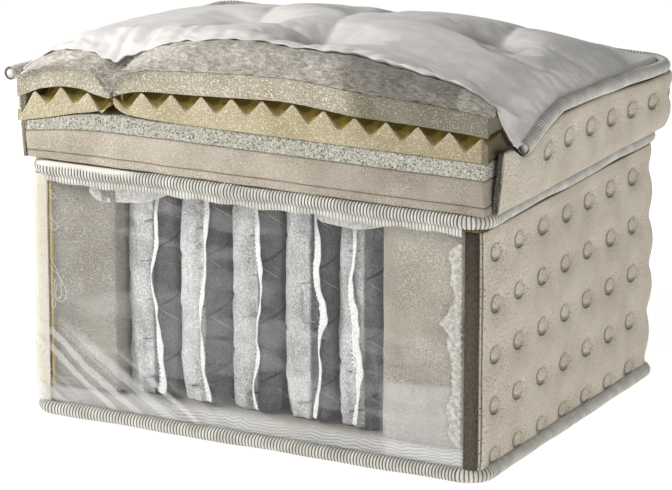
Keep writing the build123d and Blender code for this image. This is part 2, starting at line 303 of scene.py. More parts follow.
class Route:
    """A line round the block through given corners, each rounded, read by the distance along it."""

    def __init__(self, corners, radius, closed=False):
        spots = []
        count = len(corners)
        radii = radius if isinstance(radius, list) else [radius] * count
        for n, (corner, bend) in enumerate(zip(corners, radii)):
            here = Vector(corner)
            if not closed and n in (0, count - 1):
                spots.append(here)
                continue
            before = (Vector(corners[n - 1]) - here).normalized()
            after = (Vector(corners[(n + 1) % count]) - here).normalized()
            turn = math.pi - before.angle(after)
            middle = here + (before + after).normalized() * (bend / math.cos(turn / 2))
            cut_back = bend * math.tan(turn / 2)
            first, last = here + before * cut_back, here + after * cut_back
            for step in range(13):
                arm = (first - middle).slerp(last - middle, step / 12)
                spots.append(middle + arm * bend)
        if closed:
            spots.append(spots[0])
        self.x, self.y = np.array([spot[0] for spot in spots]), np.array([spot[1] for spot in spots])
        steps = np.hypot(np.diff(self.x), np.diff(self.y))
        self.reach = np.concatenate([[0], np.cumsum(steps)])
        self.length = self.reach[-1]

    def at(self, distance):
        """x, y and the outward direction at each distance, for a route that runs anticlockwise."""
        x, y = (np.interp(distance, self.reach, line) for line in (self.x, self.y))
        step = 0.0015
        fore, aft = (np.clip(distance + way * step, 0, self.length) for way in (1, -1))
        along_x = np.interp(fore, self.reach, self.x) - np.interp(aft, self.reach, self.x)
        along_y = np.interp(fore, self.reach, self.y) - np.interp(aft, self.reach, self.y)
        size = np.maximum(np.hypot(along_x, along_y), 1e-9)
        return x, y, along_y / size, -along_x / size


def wrap(name, columns, rows, place, size, fill=False):
    """A grid laid over a surface and closed where its edges meet, or with its open ends filled.

    place takes arrays u and v from 0 to 1, and size sets the UV map, in metres.
    """
    bpy.ops.object.select_all(action="DESELECT")
    bpy.ops.mesh.primitive_grid_add(x_subdivisions=columns, y_subdivisions=rows, size=2)
    piece = bpy.context.object
    piece.name = name
    sculpt(piece, lambda x, y, z: place((x + 1) / 2, (y + 1) / 2))
    layer = piece.data.uv_layers.active.data
    flat = np.empty(len(layer) * 2)
    layer.foreach_get("uv", flat)
    layer.foreach_set("uv", (flat.reshape(-1, 2) * np.array(size)).ravel())
    bpy.ops.object.mode_set(mode="EDIT")
    bpy.ops.mesh.select_all(action="SELECT")
    bpy.ops.mesh.remove_doubles(threshold=1e-5)
    if fill:
        bpy.ops.mesh.fill_holes(sides=0)
        bpy.ops.mesh.select_all(action="SELECT")
    bpy.ops.mesh.normals_make_consistent(inside=False)
    bpy.ops.object.mode_set(mode="OBJECT")
    bpy.ops.object.shade_smooth()
    return piece


def thicken(piece, thickness, offset=0):
    """Gives a one-sided sheet its thickness."""
    thick = piece.modifiers.new("thickness", "SOLIDIFY")
    thick.thickness, thick.offset = thickness, offset
    apply_modifiers(piece)


def tape_finish():
    """Ribbed tape: pale ribs with painted grey-brown shade between them, darkest at the front, and fine
    threads round each rib.
    """
    material, start, sockets = new_finish("ribbed_tape", 0.8, 0.15, 0.25)
    along = split_uv(start)[0]
    rib = start.maths("ABSOLUTE", start.maths("SINE", along * (math.pi / RIB_PITCH)))
    place = start.place()
    dirt = start.grain(place, 0.012, 3.0).ramp(0.3, 0.75)
    pale = dirt.mix(tone(192, 189, 180), tone(222, 220, 213))
    # painted shade in the grooves between the ribs, darkest on the block's front and paler toward the back
    groove_shade_fade = start.parts(place)[1].ramp(-0.165, -0.120) * 0.25
    shade = groove_shade_fade.mix(tone(96, 91, 80), tone(202, 199, 190))
    start.feed(sockets["Base Color"], rib.ramp(0.10, 0.75).mix(shade, pale))
    threads = start.maths("SINE", along * (math.pi * 14 / RIB_PITCH)) * 0.5 + 0.5
    fuzz = start.grain(place, 0.0007, 2.0)
    start.feed(sockets["Normal"], start.bump(threads * 0.4 + fuzz * 0.6, 0.0003))
    return material


def split_uv(start):
    """The UV map's two distances, in metres, and the map itself as a vector."""
    uv = start.node("TexCoord", out="UV")
    along, across, _ = start.parts(uv)
    return along, across, uv


def edge_tape(name, route, lift, lap=None, radius=SEAM_RADIUS):
    """The ribbed tube over one seam. lift gives the seam's height, and lap the place of the joint."""
    ribs = round(route.length / RIB_PITCH)
    rows = 14

    def place(u, v):
        distance, angle = u * route.length, v * 2 * math.pi
        x, y, out_x, out_y = route.at(distance)
        groove = 1 - np.abs(np.sin(math.pi * ribs * u)) ** 0.55
        reach = radius - RIB_DEPTH * groove
        if lap is not None:
            reach += 0.0009 * (np.abs(distance - lap) < 0.006)
        reach += 0.0004 * np.sin(distance * 61) * np.sin(distance * 23 + 1)
        side = np.cos(angle) * reach
        return x + out_x * side, y + out_y * side, lift(x, y) + np.sin(angle) * reach

    tube = wrap(name, ribs * 5, rows, place, (route.length, 2 * math.pi * radius))
    tube.data.materials.append(tape)
    return tube


tape = tape_finish()
tape_low, tape_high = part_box("bottom_tape")
SEAM_INSET = 0.0065  # from a tape's outermost face to its seam
HALF_W, HALF_D = tape_high[0] - SEAM_INSET, tape_high[1] - SEAM_INSET
corners = [(HALF_W, -HALF_D), (HALF_W, HALF_D), (-HALF_W, HALF_D), (-HALF_W, -HALF_D)]
ring = Route(corners, [CORNER, BACK_CORNER, BACK_CORNER, CORNER], closed=True)
BOTTOM_Z = (tape_low[2] + tape_high[2]) / 2
bottom_tape = edge_tape("bottom_edge_tape", ring, lambda x, y: BOTTOM_Z + 0.0002 * np.sin(x * 40 + y * 31))
fit(bottom_tape, "base", "bottom_tape")


def cloth_finish():
    """Plain white seam cloth, rolled and sewn: a fine weave that shows only close by."""
    material, start, sockets = new_finish("seam_cloth", 0.9, 0.1, 0.2)
    place = start.place()
    weave = start.grain(place, 0.0006, 1.0)
    start.feed(sockets["Base Color"], weave.mix(tone(205, 199, 186), tone(232, 228, 218)))
    start.feed(sockets["Normal"], start.bump(weave, 0.0003))
    return material


seam_cloth = cloth_finish()
for name in ("bottom_seam_core", "middle_seam_core"):
    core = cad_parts[name]
    core.data.materials.clear()
    core.data.materials.append(seam_cloth)


# ---------------------------------------------------------------------------------------------------
# Foam box: a base sheet and three rails of firm grey-beige foam, glued into a tray for the springs.
# Sawn faces, so the cells are cut open and the face has a fine grain.
# ---------------------------------------------------------------------------------------------------
def foam_finish(
    name, dark, light, cell, depth, speckle=0.5, yellow=None, right_shade=0.0, right_shade_x=0.09, right_shade_width=0.025,
):
    """Sawn open-cell foam: a grain of cut cells, a slow change of tone, and painted shade toward its right
    end.

    yellow is a painted colour of light inside the foam, behind the cut, where the faces also glow faintly
    with it; the foam's right end is painted dark in shadow.
    """
    material, start, sockets = new_finish(name, 1.0, 0.05, 0.15)
    place = start.place()
    pores = start.grain(place, cell, 2.0).ramp(0.34, 0.66)
    drift = start.grain(place, 0.05, 2.0).ramp(0.3, 0.7)
    share = pores * speckle + drift * (1 - speckle)
    colour = share.mix(dark, light)
    x, y, _ = start.parts(place)
    # faces behind the cut get painted yellow inner light and a faint glow, and the right end a painted shadow
    if yellow:
        behind = y.ramp(-0.1850, -0.1815) * (1 - x.ramp(0.2205, 0.2230))
        colour = behind.mix(colour, yellow)
        colour = (x.ramp(0.2240, 0.2275) * 0.55).mix(colour, tone(66, 58, 42))
        start.feed(sockets["Emission Color"], behind.mix(tone(0, 0, 0), yellow))
        sockets["Emission Strength"].default_value = 0.07
    # painted shade that darkens the foam toward its right end
    if right_shade:
        painted_right_shade = x.ramp(right_shade_x, right_shade_x + right_shade_width) * right_shade
        colour = painted_right_shade.mix(colour, tone(72, 68, 56))
    start.feed(sockets["Base Color"], colour)
    start.feed(sockets["Normal"], start.bump(pores, depth))
    return material


box_foam = foam_finish("box_foam", tone(122, 117, 106), tone(192, 186, 174), 0.0009, 0.0010, 0.7)
# a lighter copy of the same box foam for the right rail: painted light
lit_rail_foam = foam_finish("lit_box_foam", tone(134, 126, 112), tone(212, 202, 186), 0.0009, 0.0010, 0.7)


def press_inside(piece, node):
    """A piece of the spring box, put on the base body with a mesh of its own."""
    fit(piece, "base", node)
    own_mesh(piece)


base_block = foam_block("base_foam_sheet", *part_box("base_foam"), box_foam, edge=0.003, cuts=14)
fit(base_block, "base", "base_foam")
for side in ("left", "right", "back"):
    rail_foam = lit_rail_foam if side == "right" else box_foam
    rail = foam_block(f"{side}_foam_rail", *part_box(f"rail_{side}"), rail_foam, edge=0.003, cuts=14)
    press_inside(rail, f"rail_{side}")


# ---------------------------------------------------------------------------------------------------
# Coils: five in each string, straight barrels of oil-tempered wire whose ends are closed turns. One
# row of strings fills the tray from left to right, a little left of the middle.
# ---------------------------------------------------------------------------------------------------
STRINGS, POCKETS = 5, 5
PITCH_X, PITCH_Y, MIDDLE_X = 0.0534, 0.054, -0.0063
FIRST_Y = -0.1454
COIL_RADIUS, COIL_TURNS = 0.0236, 6
WIRE_RADIUS = 0.00095
STEPS_PER_TURN = 20


def wire_finish():
    """Oil-tempered spring wire: dark grey with a dull gloss and bluish heat marks."""
    material, start, sockets = new_finish("spring_wire", 0.38, 0.0, 0.5)
    place = start.place()
    heat = start.grain(place, 0.02, 3.0).ramp(0.35, 0.7)
    start.feed(sockets["Base Color"], heat.mix(tone(92, 92, 96), tone(140, 138, 136)))
    start.feed(sockets["Roughness"], heat * 0.2 + 0.3)
    sockets["Metallic"].default_value = 1.0
    return material


def coil_spring(name, x, y):
    """One spring: a bevelled spline that is turned into a mesh."""
    line = bpy.data.curves.new(name, "CURVE")
    line.dimensions, line.bevel_depth, line.bevel_resolution = "3D", WIRE_RADIUS, 1
    steps = COIL_TURNS * STEPS_PER_TURN
    spline = line.splines.new("POLY")
    spline.points.add(steps)
    low, high = (height[2] + 0.0009 * way for height, way in zip(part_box("coil_string_1"), (1, -1)))
    for step, point in enumerate(spline.points):
        share = step / steps
        angle = share * COIL_TURNS * 2 * math.pi
        rise = min(max((share - 0.06) / 0.88, 0), 1)
        height = low + (high - low) * rise
        point.co = (x + COIL_RADIUS * math.cos(angle), y + COIL_RADIUS * math.sin(angle), height, 1)
    coil = bpy.data.objects.new(name, line)
    bpy.context.collection.objects.link(coil)
    select_only(coil)
    bpy.ops.object.convert(target="MESH")
    return bpy.context.object


def string_middle(string):
    """Where a string of coils and pockets stands, from the left."""
    return MIDDLE_X + (string - (STRINGS - 1) / 2) * PITCH_X


def join(pieces, name):
    """Several meshes as one piece."""
    bpy.ops.object.select_all(action="DESELECT")
    for piece in pieces:
        piece.select_set(True)
    bpy.context.view_layer.objects.active = pieces[0]
    bpy.ops.object.join()
    pieces[0].name = name
    return pieces[0]


wire = wire_finish()
for string in range(STRINGS):
    coils = [coil_spring(f"coil_{n}", string_middle(string), FIRST_Y + n * PITCH_Y) for n in range(POCKETS)]
    row = join(coils, f"coils_{string + 1}")
    row.data.materials.append(wire)
    press_inside(row, f"coil_string_{string + 1}")


# ---------------------------------------------------------------------------------------------------
# Pockets: grey spun-bonded cloth, welded into tubes round the coils. Where a string was cut, the weld
# stands out at the front as a pale ruffled tail with a row of weld points. Wires press slanting creases
# in the cloth, painted dark with shade, and a few gold glue threads run across it. Each pocket is
# painted lit left of its weld and shaded right of it.
# ---------------------------------------------------------------------------------------------------
POCKET_RADIUS = 0.0265
POCKET_LOW, POCKET_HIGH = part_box("pocket_string_1")[0][2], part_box("pocket_string_1")[1][2]
POCKET_TALL = POCKET_HIGH - POCKET_LOW
LINE_PITCH, LINE_SLOPE, LINE_START = 0.050, 0.50, 0.3  # slanting lines that the wires press in the cloth
# for each string: where its tail starts round the front pocket in degrees, the tail's width, its ruffle
TAILS = ((14, 0.013, 0.5), (4, 0.012, 1.7), (8, 0.011, 3.1), (22, 0.013, 4.2), (-20, 0.015, 5.3))


def pocket_finish():
    """Spun-bonded cloth: embossed points, matted fibres and gold threads, painted lit left of the weld and
    shaded right of it, with painted shade along the wire creases.
    """
    material, start, sockets = new_finish("pocket_cloth", 0.85, 0.2, 0.25)
    around, height, uv = split_uv(start)
    place = start.place()
    fibres = start.grain(place, 0.0015, 3.0, (1.3, 1.3, 0.8)).ramp(0.36, 0.66)
    points = 1 - start.cells(uv, 0.0014, dimensions="2D").ramp(0.15, 0.5)
    shade = start.grain(place, 0.03, 2.0).ramp(0.3, 0.7)
    # painted light on the pocket left of its weld, painted shade right of it
    lit = (fibres * 0.6 + shade * 0.4).mix(tone(146, 146, 145), tone(240, 239, 237))
    shaded_cloth = (fibres * 0.5 + shade * 0.5).mix(tone(50, 51, 54), tone(118, 119, 122))
    # painted shade along the creases that the coil turns press into the cloth, on the shaded side
    turn = start.maths("FRACT", height / LINE_PITCH - around * LINE_SLOPE / LINE_PITCH + LINE_START)
    coil_crease_shade = 1 - start.maths("ABSOLUTE", turn - 0.5).ramp(0.012, 0.040)
    right_half = around.ramp(0.048, 0.052)
    cloth = around.ramp(0.0455, 0.0490).mix(lit, shaded_cloth)
    cross = start.maths("FRACT", height / 0.047 + around * 0.62 / 0.047)
    thread = 1 - start.maths("ABSOLUTE", cross - 0.5).ramp(0.002, 0.011)
    left_half = (around * -1).ramp(-0.084, -0.080) * around.ramp(0.052, 0.056)
    dark = (coil_crease_shade * right_half * 0.9).mix(cloth, tone(12, 12, 14))
    broken = start.grain(place, 0.02, 1.0).ramp(0.42, 0.5)
    gold = (thread * left_half * broken).mix(dark, tone(196, 158, 92))
    start.feed(sockets["Base Color"], gold)
    start.feed(sockets["Normal"], start.bump(fibres * 0.7 + points * 0.3, 0.0012))
    return material


def tail_finish():
    """The welded double cloth of a tail: nearly white, with darker melted points in a row."""
    material, start, sockets = new_finish("weld_tail", 0.8, 0.2, 0.25)
    across, height, _ = split_uv(start)
    place = start.place()
    fibres = start.grain(place, 0.0018, 4.0).ramp(0.3, 0.7)
    beat = start.maths("ABSOLUTE", start.maths("FRACT", height / 0.0042) - 0.5)
    point = (0.5 - beat).ramp(0.22, 0.34)
    row = 1 - start.maths("ABSOLUTE", across - 0.0017).ramp(0.0006, 0.0012)
    cloth = fibres.mix(tone(196, 194, 190), tone(244, 243, 240))
    start.feed(sockets["Base Color"], (point * row).mix(cloth, tone(58, 57, 56)))
    start.feed(sockets["Normal"], start.bump(fibres + point * row * -1.5, 0.0006))
    return material


def pocket(name, x, y, columns, rows, weld, seed, square=2.0):
    """One filled pocket: a tube with gathered ends, pressed square where its neighbours hold it."""
    seam = math.radians(weld - 90)

    def place(u, v):
        angle = u * 2 * math.pi - math.pi
        share = np.clip((v - 0.05) / 0.90, 0, 1)
        closing = np.clip(np.minimum(v / 0.05, (1 - v) / 0.05), 0, 1)
        height = POCKET_LOW + POCKET_TALL * (0.004 + 0.992 * share)
        from_seam = np.abs((angle - seam + math.pi) % (2 * math.pi) - math.pi)
        reach = POCKET_RADIUS - 0.0006 - 0.0012 * np.exp(-(np.minimum(share, 1 - share) / 0.05) ** 2)
        around = (angle + math.pi) * POCKET_RADIUS
        turn = (height / LINE_PITCH - around * LINE_SLOPE / LINE_PITCH + LINE_START) % 1
        reach -= 0.0005 * (1 - np.exp(-((turn - 0.5) / 0.16) ** 2))
        reach -= 0.0016 * np.exp(-(from_seam / 0.16) ** 2)
        reach -= 0.0010 * np.exp(-(from_seam / 0.5) ** 2) * (0.5 + 0.5 * np.sin(height * 620 + seed * 3))
        folds = lumps(angle * 1.4, height * 16, height * 0, 1.0, seed * 7.3)
        gather = np.exp(-(np.minimum(share, 1 - share) / 0.14) ** 2)
        reach -= 0.0026 * np.abs(folds) + gather * 0.0026 * np.abs(np.sin(angle * 5 + seed))
        creases = np.sin(height * 46 + angle * 2.6 + seed) + 0.5 * np.sin(height * 95 - angle * 4 + seed * 2)
        reach -= 0.0014 * np.exp(-(np.abs(creases) / 0.25) ** 2)
        reach = np.minimum(reach, POCKET_RADIUS - 0.0003) * closing ** 0.5
        reach /= (np.abs(np.cos(angle)) ** square + np.abs(np.sin(angle)) ** square) ** (1 / square)
        return x + np.cos(angle) * reach, y + np.sin(angle) * reach, height

    tube = wrap(name, columns, rows, place, (2 * math.pi * POCKET_RADIUS, POCKET_TALL))
    tube.data.materials.append(pocket_cloth)
    return tube


def weld_tail(name, x, weld, width, seed):
    """The cut string's tail: a ruffled ribbon that stands out from the weld and folds to the right."""
    start_x = x + math.sin(math.radians(weld)) * (POCKET_RADIUS - 0.0012)
    start_y = FIRST_Y - math.cos(math.radians(weld)) * (POCKET_RADIUS - 0.0024)

    def place(u, v):
        height = POCKET_LOW + 0.004 + (POCKET_TALL - 0.008) * v
        ruffle = np.sin(v * 9 + seed * 2) * 0.5 + np.sin(v * 23 + seed * 5) * 0.3
        ruffle += np.sin(v * 61 + seed) * 0.12
        wide = 1.25 * width * (0.72 + 0.35 * ruffle * np.sin(v * math.pi) + 0.25 * np.abs(v - 0.5) ** 2)
        lean = 0.35 + 0.5 * np.sin(v * 6 + seed) + 0.25 * np.sin(v * 17 + seed * 3)
        sway = 0.0030 * np.sin(v * 7 + seed * 1.3) + 0.0012 * np.sin(v * 19 + seed)
        out = 0.0068 * u ** 0.8
        side = wide * u * (0.55 + 0.35 * lean)
        return start_x + sway + side, start_y + 0.0012 - out - 0.0010 * np.sin(u * 4 + v * 30) * u, height

    ribbon = wrap(name, 8, 110, place, (width, POCKET_TALL))
    ribbon.data.materials.append(tail_cloth)
    thicken(ribbon, 0.0005)
    return ribbon


pocket_cloth, tail_cloth = pocket_finish(), tail_finish()
for string, (weld, width, seed) in enumerate(TAILS):
    string_x = string_middle(string)
    tubes = [pocket("front_pocket", string_x, FIRST_Y, 140, 150, weld, seed, 3.4)]
    for n in range(1, POCKETS):
        tubes.append(pocket(f"pocket_{n}", string_x, FIRST_Y + n * PITCH_Y, 36, 40, weld, seed + n))
    tubes.append(weld_tail("tail", string_x, weld, width, seed))
    row = join(tubes, f"pockets_{string + 1}")
    press_inside(row, f"pocket_string_{string + 1}")


# ---------------------------------------------------------------------------------------------------
# Lower border: beige ticking with a quilted ring every 48 mm, over a thin yellow foam that is sewn to
# it. It goes round three sides and turns in at both edges of the window.
# ---------------------------------------------------------------------------------------------------
border_low, border_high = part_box("lower_border")
LOWER_EDGE, UPPER_EDGE = border_low[2], border_high[2]
SIDE, BACK = border_high[0], border_high[1]
WINDOW_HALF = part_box("window_film")[1][0]
RING_RADIUS = 0.0078
LAST_MARK = 0.030  # length left plain at a border's far end
TICKING_GRID = 0.0019  # distance between a border's vertices
OUTER_SHARE = 0.86  # share of a border's rows on its outer face


def press_skin(piece, node):
    """A piece of the box's outer skin, put on the base body with a mesh of its own."""
    fit(piece, "base", node)
    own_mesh(piece)


def ticking_finish(name, first, pitch, row_first, row_pitch, last, strip=0.0):
    """Beige ticking: rings sewn through it with painted shade in their grooves, pin-holes all over, and
    painted shadow on the return beside the window.
    """
    material, start, sockets = new_finish(name, 0.95, 0.12, 0.2)
    along, height, uv = split_uv(start)
    column = (start.maths("FRACT", (along - first) / pitch + 0.5) - 0.5) * pitch
    row = (start.maths("FRACT", (height - row_first) / row_pitch + 0.5) - 0.5) * row_pitch
    away = start.maths("SQRT", column * column * 0.62 + row * row * 1.1)
    ringed = along.ramp(first - pitch * 0.52, first - pitch * 0.5) * (1 - along.ramp(last, last + 0.001))
    near_ring = (1 - start.maths("ABSOLUTE", away - RING_RADIUS).ramp(0.0005, 0.0024)) * ringed
    # painted shade in the ring grooves, stronger on their lower front side
    open_side = (column * 0.8 + row * 0.6).ramp(-0.0060, 0.0040) * -0.85 + 1.0
    groove = near_ring * open_side
    holes = start.cells(uv, 0.0038, dimensions="2D")
    crowd = (0.020 - away).ramp(0.0, 0.010) * 0.6 + (0.16 - along).ramp(0.0, 0.15) * 0.7 + 0.25
    pin = start.maths("MINIMUM", (1 - holes.ramp(0.07, 0.17)) * crowd, 1.0)
    place = start.place()
    weave = start.grain(place, 0.0009, 2.0)
    drift = start.grain(place, 0.035, 3.0).ramp(0.3, 0.7)
    cloth = (weave * 0.85 + drift * 0.15).ramp(0.25, 0.75).mix(tone(178, 167, 150), tone(212, 203, 187))
    marked = start.maths("MAXIMUM", groove * 0.55, pin * 0.8).mix(cloth, tone(84, 74, 58))
    if strip:
        far_end = along.ramp(1.1765, 1.1785)
        marked = far_end.mix(marked, weave.mix(tone(176, 168, 150), tone(226, 221, 208)))
        # painted shadow on the return beside the window, darkest toward its top; the stitch line beside it is
        # real
        shadowed_return = 1 - along.ramp(strip - 0.0012, strip + 0.0004)
        fibres = start.grain(place, 0.0016, 4.0, (2.5, 1.0, 0.5)).ramp(0.3, 0.7)
        shade = start.maths("MULTIPLY", fibres * 0.7 + 0.3, 1.0 - height.ramp(0.10, 0.24) * 0.55)
        marked = shadowed_return.mix(marked, shade.mix(tone(20, 18, 14), tone(90, 82, 69)))
        seam = 1 - start.maths("ABSOLUTE", along - strip - 0.0012).ramp(0.0004, 0.0010)
        marked = (seam * 0.7).mix(marked, tone(50, 44, 36))
    start.feed(sockets["Base Color"], marked)
    relief = weave * 0.14 - groove * 0.9 - near_ring * 0.15 - pin * 0.3
    start.feed(sockets["Normal"], start.bump(relief, 0.0026))
    return material


def quilted_border(
    name, route, low, high, first, pitch, row_first, row_pitch, lean, material, thickness=0.0035,
):
    """Ticking round the block as a closed shell: a puffed outer face and a plain inner one."""
    columns, rows = round(route.length / TICKING_GRID), round((high - low) / OUTER_SHARE / TICKING_GRID)

    def place(u, v):
        distance = u * route.length
        outer = v <= OUTER_SHARE + 1e-6
        share = np.where(outer, v / OUTER_SHARE, (1 - v) / (1 - OUTER_SHARE))
        height = low + (high - low) * share
        column = ((distance - first) / pitch + 0.5) % 1 - 0.5
        row = ((height - low - row_first) / row_pitch + 0.5) % 1 - 0.5
        away = np.hypot(column * pitch * 0.79, row * row_pitch * 1.05)
        plain = (distance < first - pitch / 2) | (distance > route.length - LAST_MARK)
        away = np.where(plain, 0.03, away)
        puff = 0.0024 - 0.0042 * np.exp(-(away / 0.013) ** 2) + 0.0014 * np.exp(-(away / 0.0050) ** 2)
        puff -= 0.0012 * np.exp(-((away - RING_RADIUS) / 0.0018) ** 2)
        edge = np.minimum(share, 1 - share) * (high - low)
        puff = np.where(edge < 0.010, puff * np.sqrt(np.clip(edge / 0.010, 0, 1)), puff)
        puff += 0.0007 * np.sin(distance * 37 + height * 21) * np.sin(height * 33 - distance * 11)
        ends = np.minimum(distance, route.length - distance)
        puff *= np.clip(ends / 0.016, 0.05, 1)
        x, y, out_x, out_y = route.at(distance)
        belly = 0.0034 * np.sin(share * math.pi) * np.exp(-np.hypot(np.abs(x) - SIDE, y - BACK) / 0.06)
        out = lean(x, y, height) + belly + np.where(outer, puff, -thickness)
        return x + out_x * out, y + out_y * out, height

    shell = wrap(name, columns, rows, place, (route.length, (high - low) / OUTER_SHARE), fill=True)
    shell.data.materials.append(material)
    return shell


def lining_foam_block(name, route, low, high, lean, thickness, material):
    """The thin foam behind the ticking, as a closed strip."""

    def place(u, v):
        distance = u * route.length
        x, y, out_x, out_y = route.at(distance)
        corner = (v * 4) % 4
        face = [corner < 1, corner < 2, corner < 3]
        share = np.select(face, [corner * 0, corner - 1, corner * 0 + 1], 4 - corner)
        depth = np.select(face, [1 - corner, corner * 0, corner - 2], corner * 0 + 1)
        height = low + (high - low) * share
        out = lean(x, y, height) - depth * thickness + 0.0003 * np.sin(height * 300 + distance * 90)
        return x + out_x * out, y + out_y * out, height

    strip = wrap(name, 240, 80, place, (route.length, high - low), fill=True)
    strip.data.materials.append(material)
    return strip


RETURN = 0.0155  # ticking that turns in beside the window
MARK_FIRST, MARK_PITCH, ROW_FIRST, ROW_PITCH = 0.0437, 0.0482, 0.0065, 0.0461


def border_route(half_w, front_y, back_y, front_x, front_radius, back_radius):
    """From the window's right edge round the right side, the back and the left side."""
    return Route(
        [(front_x, front_y), (half_w, front_y), (half_w, back_y),
         (-half_w, back_y), (-half_w, front_y), (-front_x, front_y)],
        [0, front_radius, back_radius, back_radius, front_radius, 0],
    )


upright = lambda x, y, z: 0 * x
lower_route = border_route(SIDE, -BACK, BACK, SIDE - RETURN, 0.0065, 0.011)
ticking = ticking_finish(
    "lower_ticking", MARK_FIRST, MARK_PITCH, ROW_FIRST, ROW_PITCH, lower_route.length - LAST_MARK,
    strip=RETURN - 0.0015,
)
lower_ticking = quilted_border(
    "lower_border_ticking", lower_route, LOWER_EDGE, UPPER_EDGE,
    MARK_FIRST, MARK_PITCH, ROW_FIRST, ROW_PITCH, upright, ticking,
)
press_skin(lower_ticking, "lower_border")

lining_foam = foam_finish("lining_foam", tone(206, 170, 88), tone(242, 218, 150), 0.0011, 0.0007)
INSIDE = 0.0042  # from the ticking's outer face to its lining
lining_route = border_route(
    SIDE - INSIDE, -BACK + INSIDE, BACK - INSIDE, SIDE - RETURN - 0.0022,
    front_radius=0.0035, back_radius=0.008,
)
lower_lining = lining_foam_block(
    "lower_border_lining", lining_route, LOWER_EDGE + 0.001, UPPER_EDGE - 0.001, upright, 0.0042, lining_foam)
press_skin(lower_lining, "lower_border_foam")


# ---------------------------------------------------------------------------------------------------
# Window: clear soft film, sewn in at the top and the bottom and tucked behind the border's returns. It
# has slanting storage folds, and along the bottom a hazier band with painted ripples of refracted light.
# ---------------------------------------------------------------------------------------------------
def soft_step(value):
    share = np.clip(value, 0, 1)
    return share * share * (3 - 2 * share)


def film_finish():
    """Clear film: mostly see-through, with hazy folds, painted ripples of refracted light along the bottom,
    and a glossy skin.
    """
    material, start, sockets = new_finish("clear_film", 0.12, 0.0, 0.6)
    place = start.place()
    x, _, z = start.parts(place)
    wobble = start.grain(place, 0.05, 2.0)
    slant = x * 0.72 + z + wobble * 0.012
    line = start.node("CombineXYZ", inputs={"X": slant})
    folds = start.grain(line, 0.0170, 1.0)
    low_left = (0.098 - z - (x + 0.2) * 0.34).ramp(0.0, 0.022) * (0.02 - x).ramp(0.0, 0.06)
    streaks = folds.ramp(0.47, 0.55) * low_left
    haze = start.grain(place, 0.028, 2.0, (0.35, 1.0, 1.5)).ramp(0.50, 0.62)
    # painted ripples of refracted light along the bottom, in a hazier band
    ripple = start.maths("SINE", z * 2100 + start.grain(place, 0.016, 1.0, (1.0, 1.0, 0.4)) * 26) * 0.5 + 0.5
    bottom = (0.034 - z).ramp(0.0, 0.010)
    marks = ripple.ramp(0.45, 0.8) * bottom * (x + 0.12).ramp(0.0, 0.05)
    low_right = (x - 0.125).ramp(0.0, 0.012) * (0.078 - z + x * 0.05).ramp(0.0, 0.006)
    cloudy = low_right * 0.16 + streaks * 0.17 + haze * 0.04 + marks * 0.15 + bottom * 0.16 + 0.028
    start.feed(sockets["Alpha"], start.maths("MINIMUM", cloudy, 0.6))
    sockets["Base Color"].default_value = (0.80, 0.80, 0.79, 1)
    start.feed(sockets["Normal"], start.bump(wobble * 0.7 + folds * low_left * 0.3, 0.003))
    return material


film_low, film_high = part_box("window_film")
FILM_LEFT = -0.2218  # the film also covers the left return


def film_place(u, v):
    x = FILM_LEFT + (film_high[0] - FILM_LEFT) * u
    z = film_low[2] + (film_high[2] - film_low[2]) * v
    hold = np.minimum(np.minimum(u, 1 - u) * 12, np.minimum(v, 1 - v) * 12).clip(0, 1)
    over = 0.0046 * soft_step((-0.2075 - x) / 0.006)
    slack = 0.0009 * np.sin(x * 38 + z * 22) + 0.0006 * np.sin((x * 0.78 + z) * 130)
    slack += 0.0003 * np.sin(x * 400 + 9 * z)
    return x, film_low[1] - 0.0004 - hold * (slack + 0.0008) - over, z


film = wrap("window_film_sheet", 150, 90, film_place, (1, 1))
thicken(film, 0.0004)
film.data.materials.append(film_finish())
press_skin(film, "window_film")


# ---------------------------------------------------------------------------------------------------
# Loose ends at the window's sides: on the right the film's edge is folded back with wadding in it, and
# on the left a few threads are torn out.
# ---------------------------------------------------------------------------------------------------
def fibre_finish():
    """Polyester fibre: streaky white and grey, with strands in every direction, and painted shade toward the
    right.
    """
    material, start, sockets = new_finish("loose_fibre", 1.0, 0.35, 0.1)
    place = start.place()
    lay = start.grain(place, 0.0026, 5.0, (0.45, 1.0, 1.3))
    cross = start.grain(place, 0.0014, 4.0, (1.2, 1.2, 0.6))
    clumps = start.grain(place, 0.016, 3.0).ramp(0.32, 0.68)
    strands = (lay * 0.6 + cross * 0.4).ramp(0.36, 0.62)
    x = start.parts(place)[0]
    colour = (strands * 0.65 + clumps * 0.35).mix(tone(158, 148, 132), tone(247, 241, 230))
    # painted shade: darker toward the right, with a painted shadow over the right end
    colour = (x.ramp(-0.15, 0.02) * 0.38).mix(colour, tone(84, 78, 66))
    painted_right_shade = x.ramp(0.080, 0.105) * (0.206 - x).ramp(0.0, 0.004) * 0.55
    colour = painted_right_shade.mix(colour, tone(70, 66, 54))
    start.feed(sockets["Base Color"], colour)
    start.feed(sockets["Normal"], start.bump(strands * 0.7 + clumps * 0.3, 0.0016))
    return material


def fluff_place(u, v):
    z = LOWER_EDGE + 0.018 + (UPPER_EDGE - LOWER_EDGE - 0.030) * v
    wide = 0.0070 + 0.0055 * np.abs(np.sin(v * 7.5 + 0.6)) + 0.0016 * np.sin(v * 41)
    wide += 0.0090 * np.exp(-((v - 0.60) / 0.035) ** 2)
    angle = u * 2 * math.pi
    ends = np.sqrt(np.clip(np.minimum(v, 1 - v) * 14, 0, 1))
    rough = 0.0008 * np.sin(v * 160 + angle * 3) + 0.0006 * np.sin(v * 310 + angle * 2)
    x = WINDOW_HALF - 0.0015 - wide * ends * (1 + np.cos(angle)) / 2 - rough * ends
    return x, film_low[1] - 0.0030 + 0.0009 * np.sin(angle) * ends, z


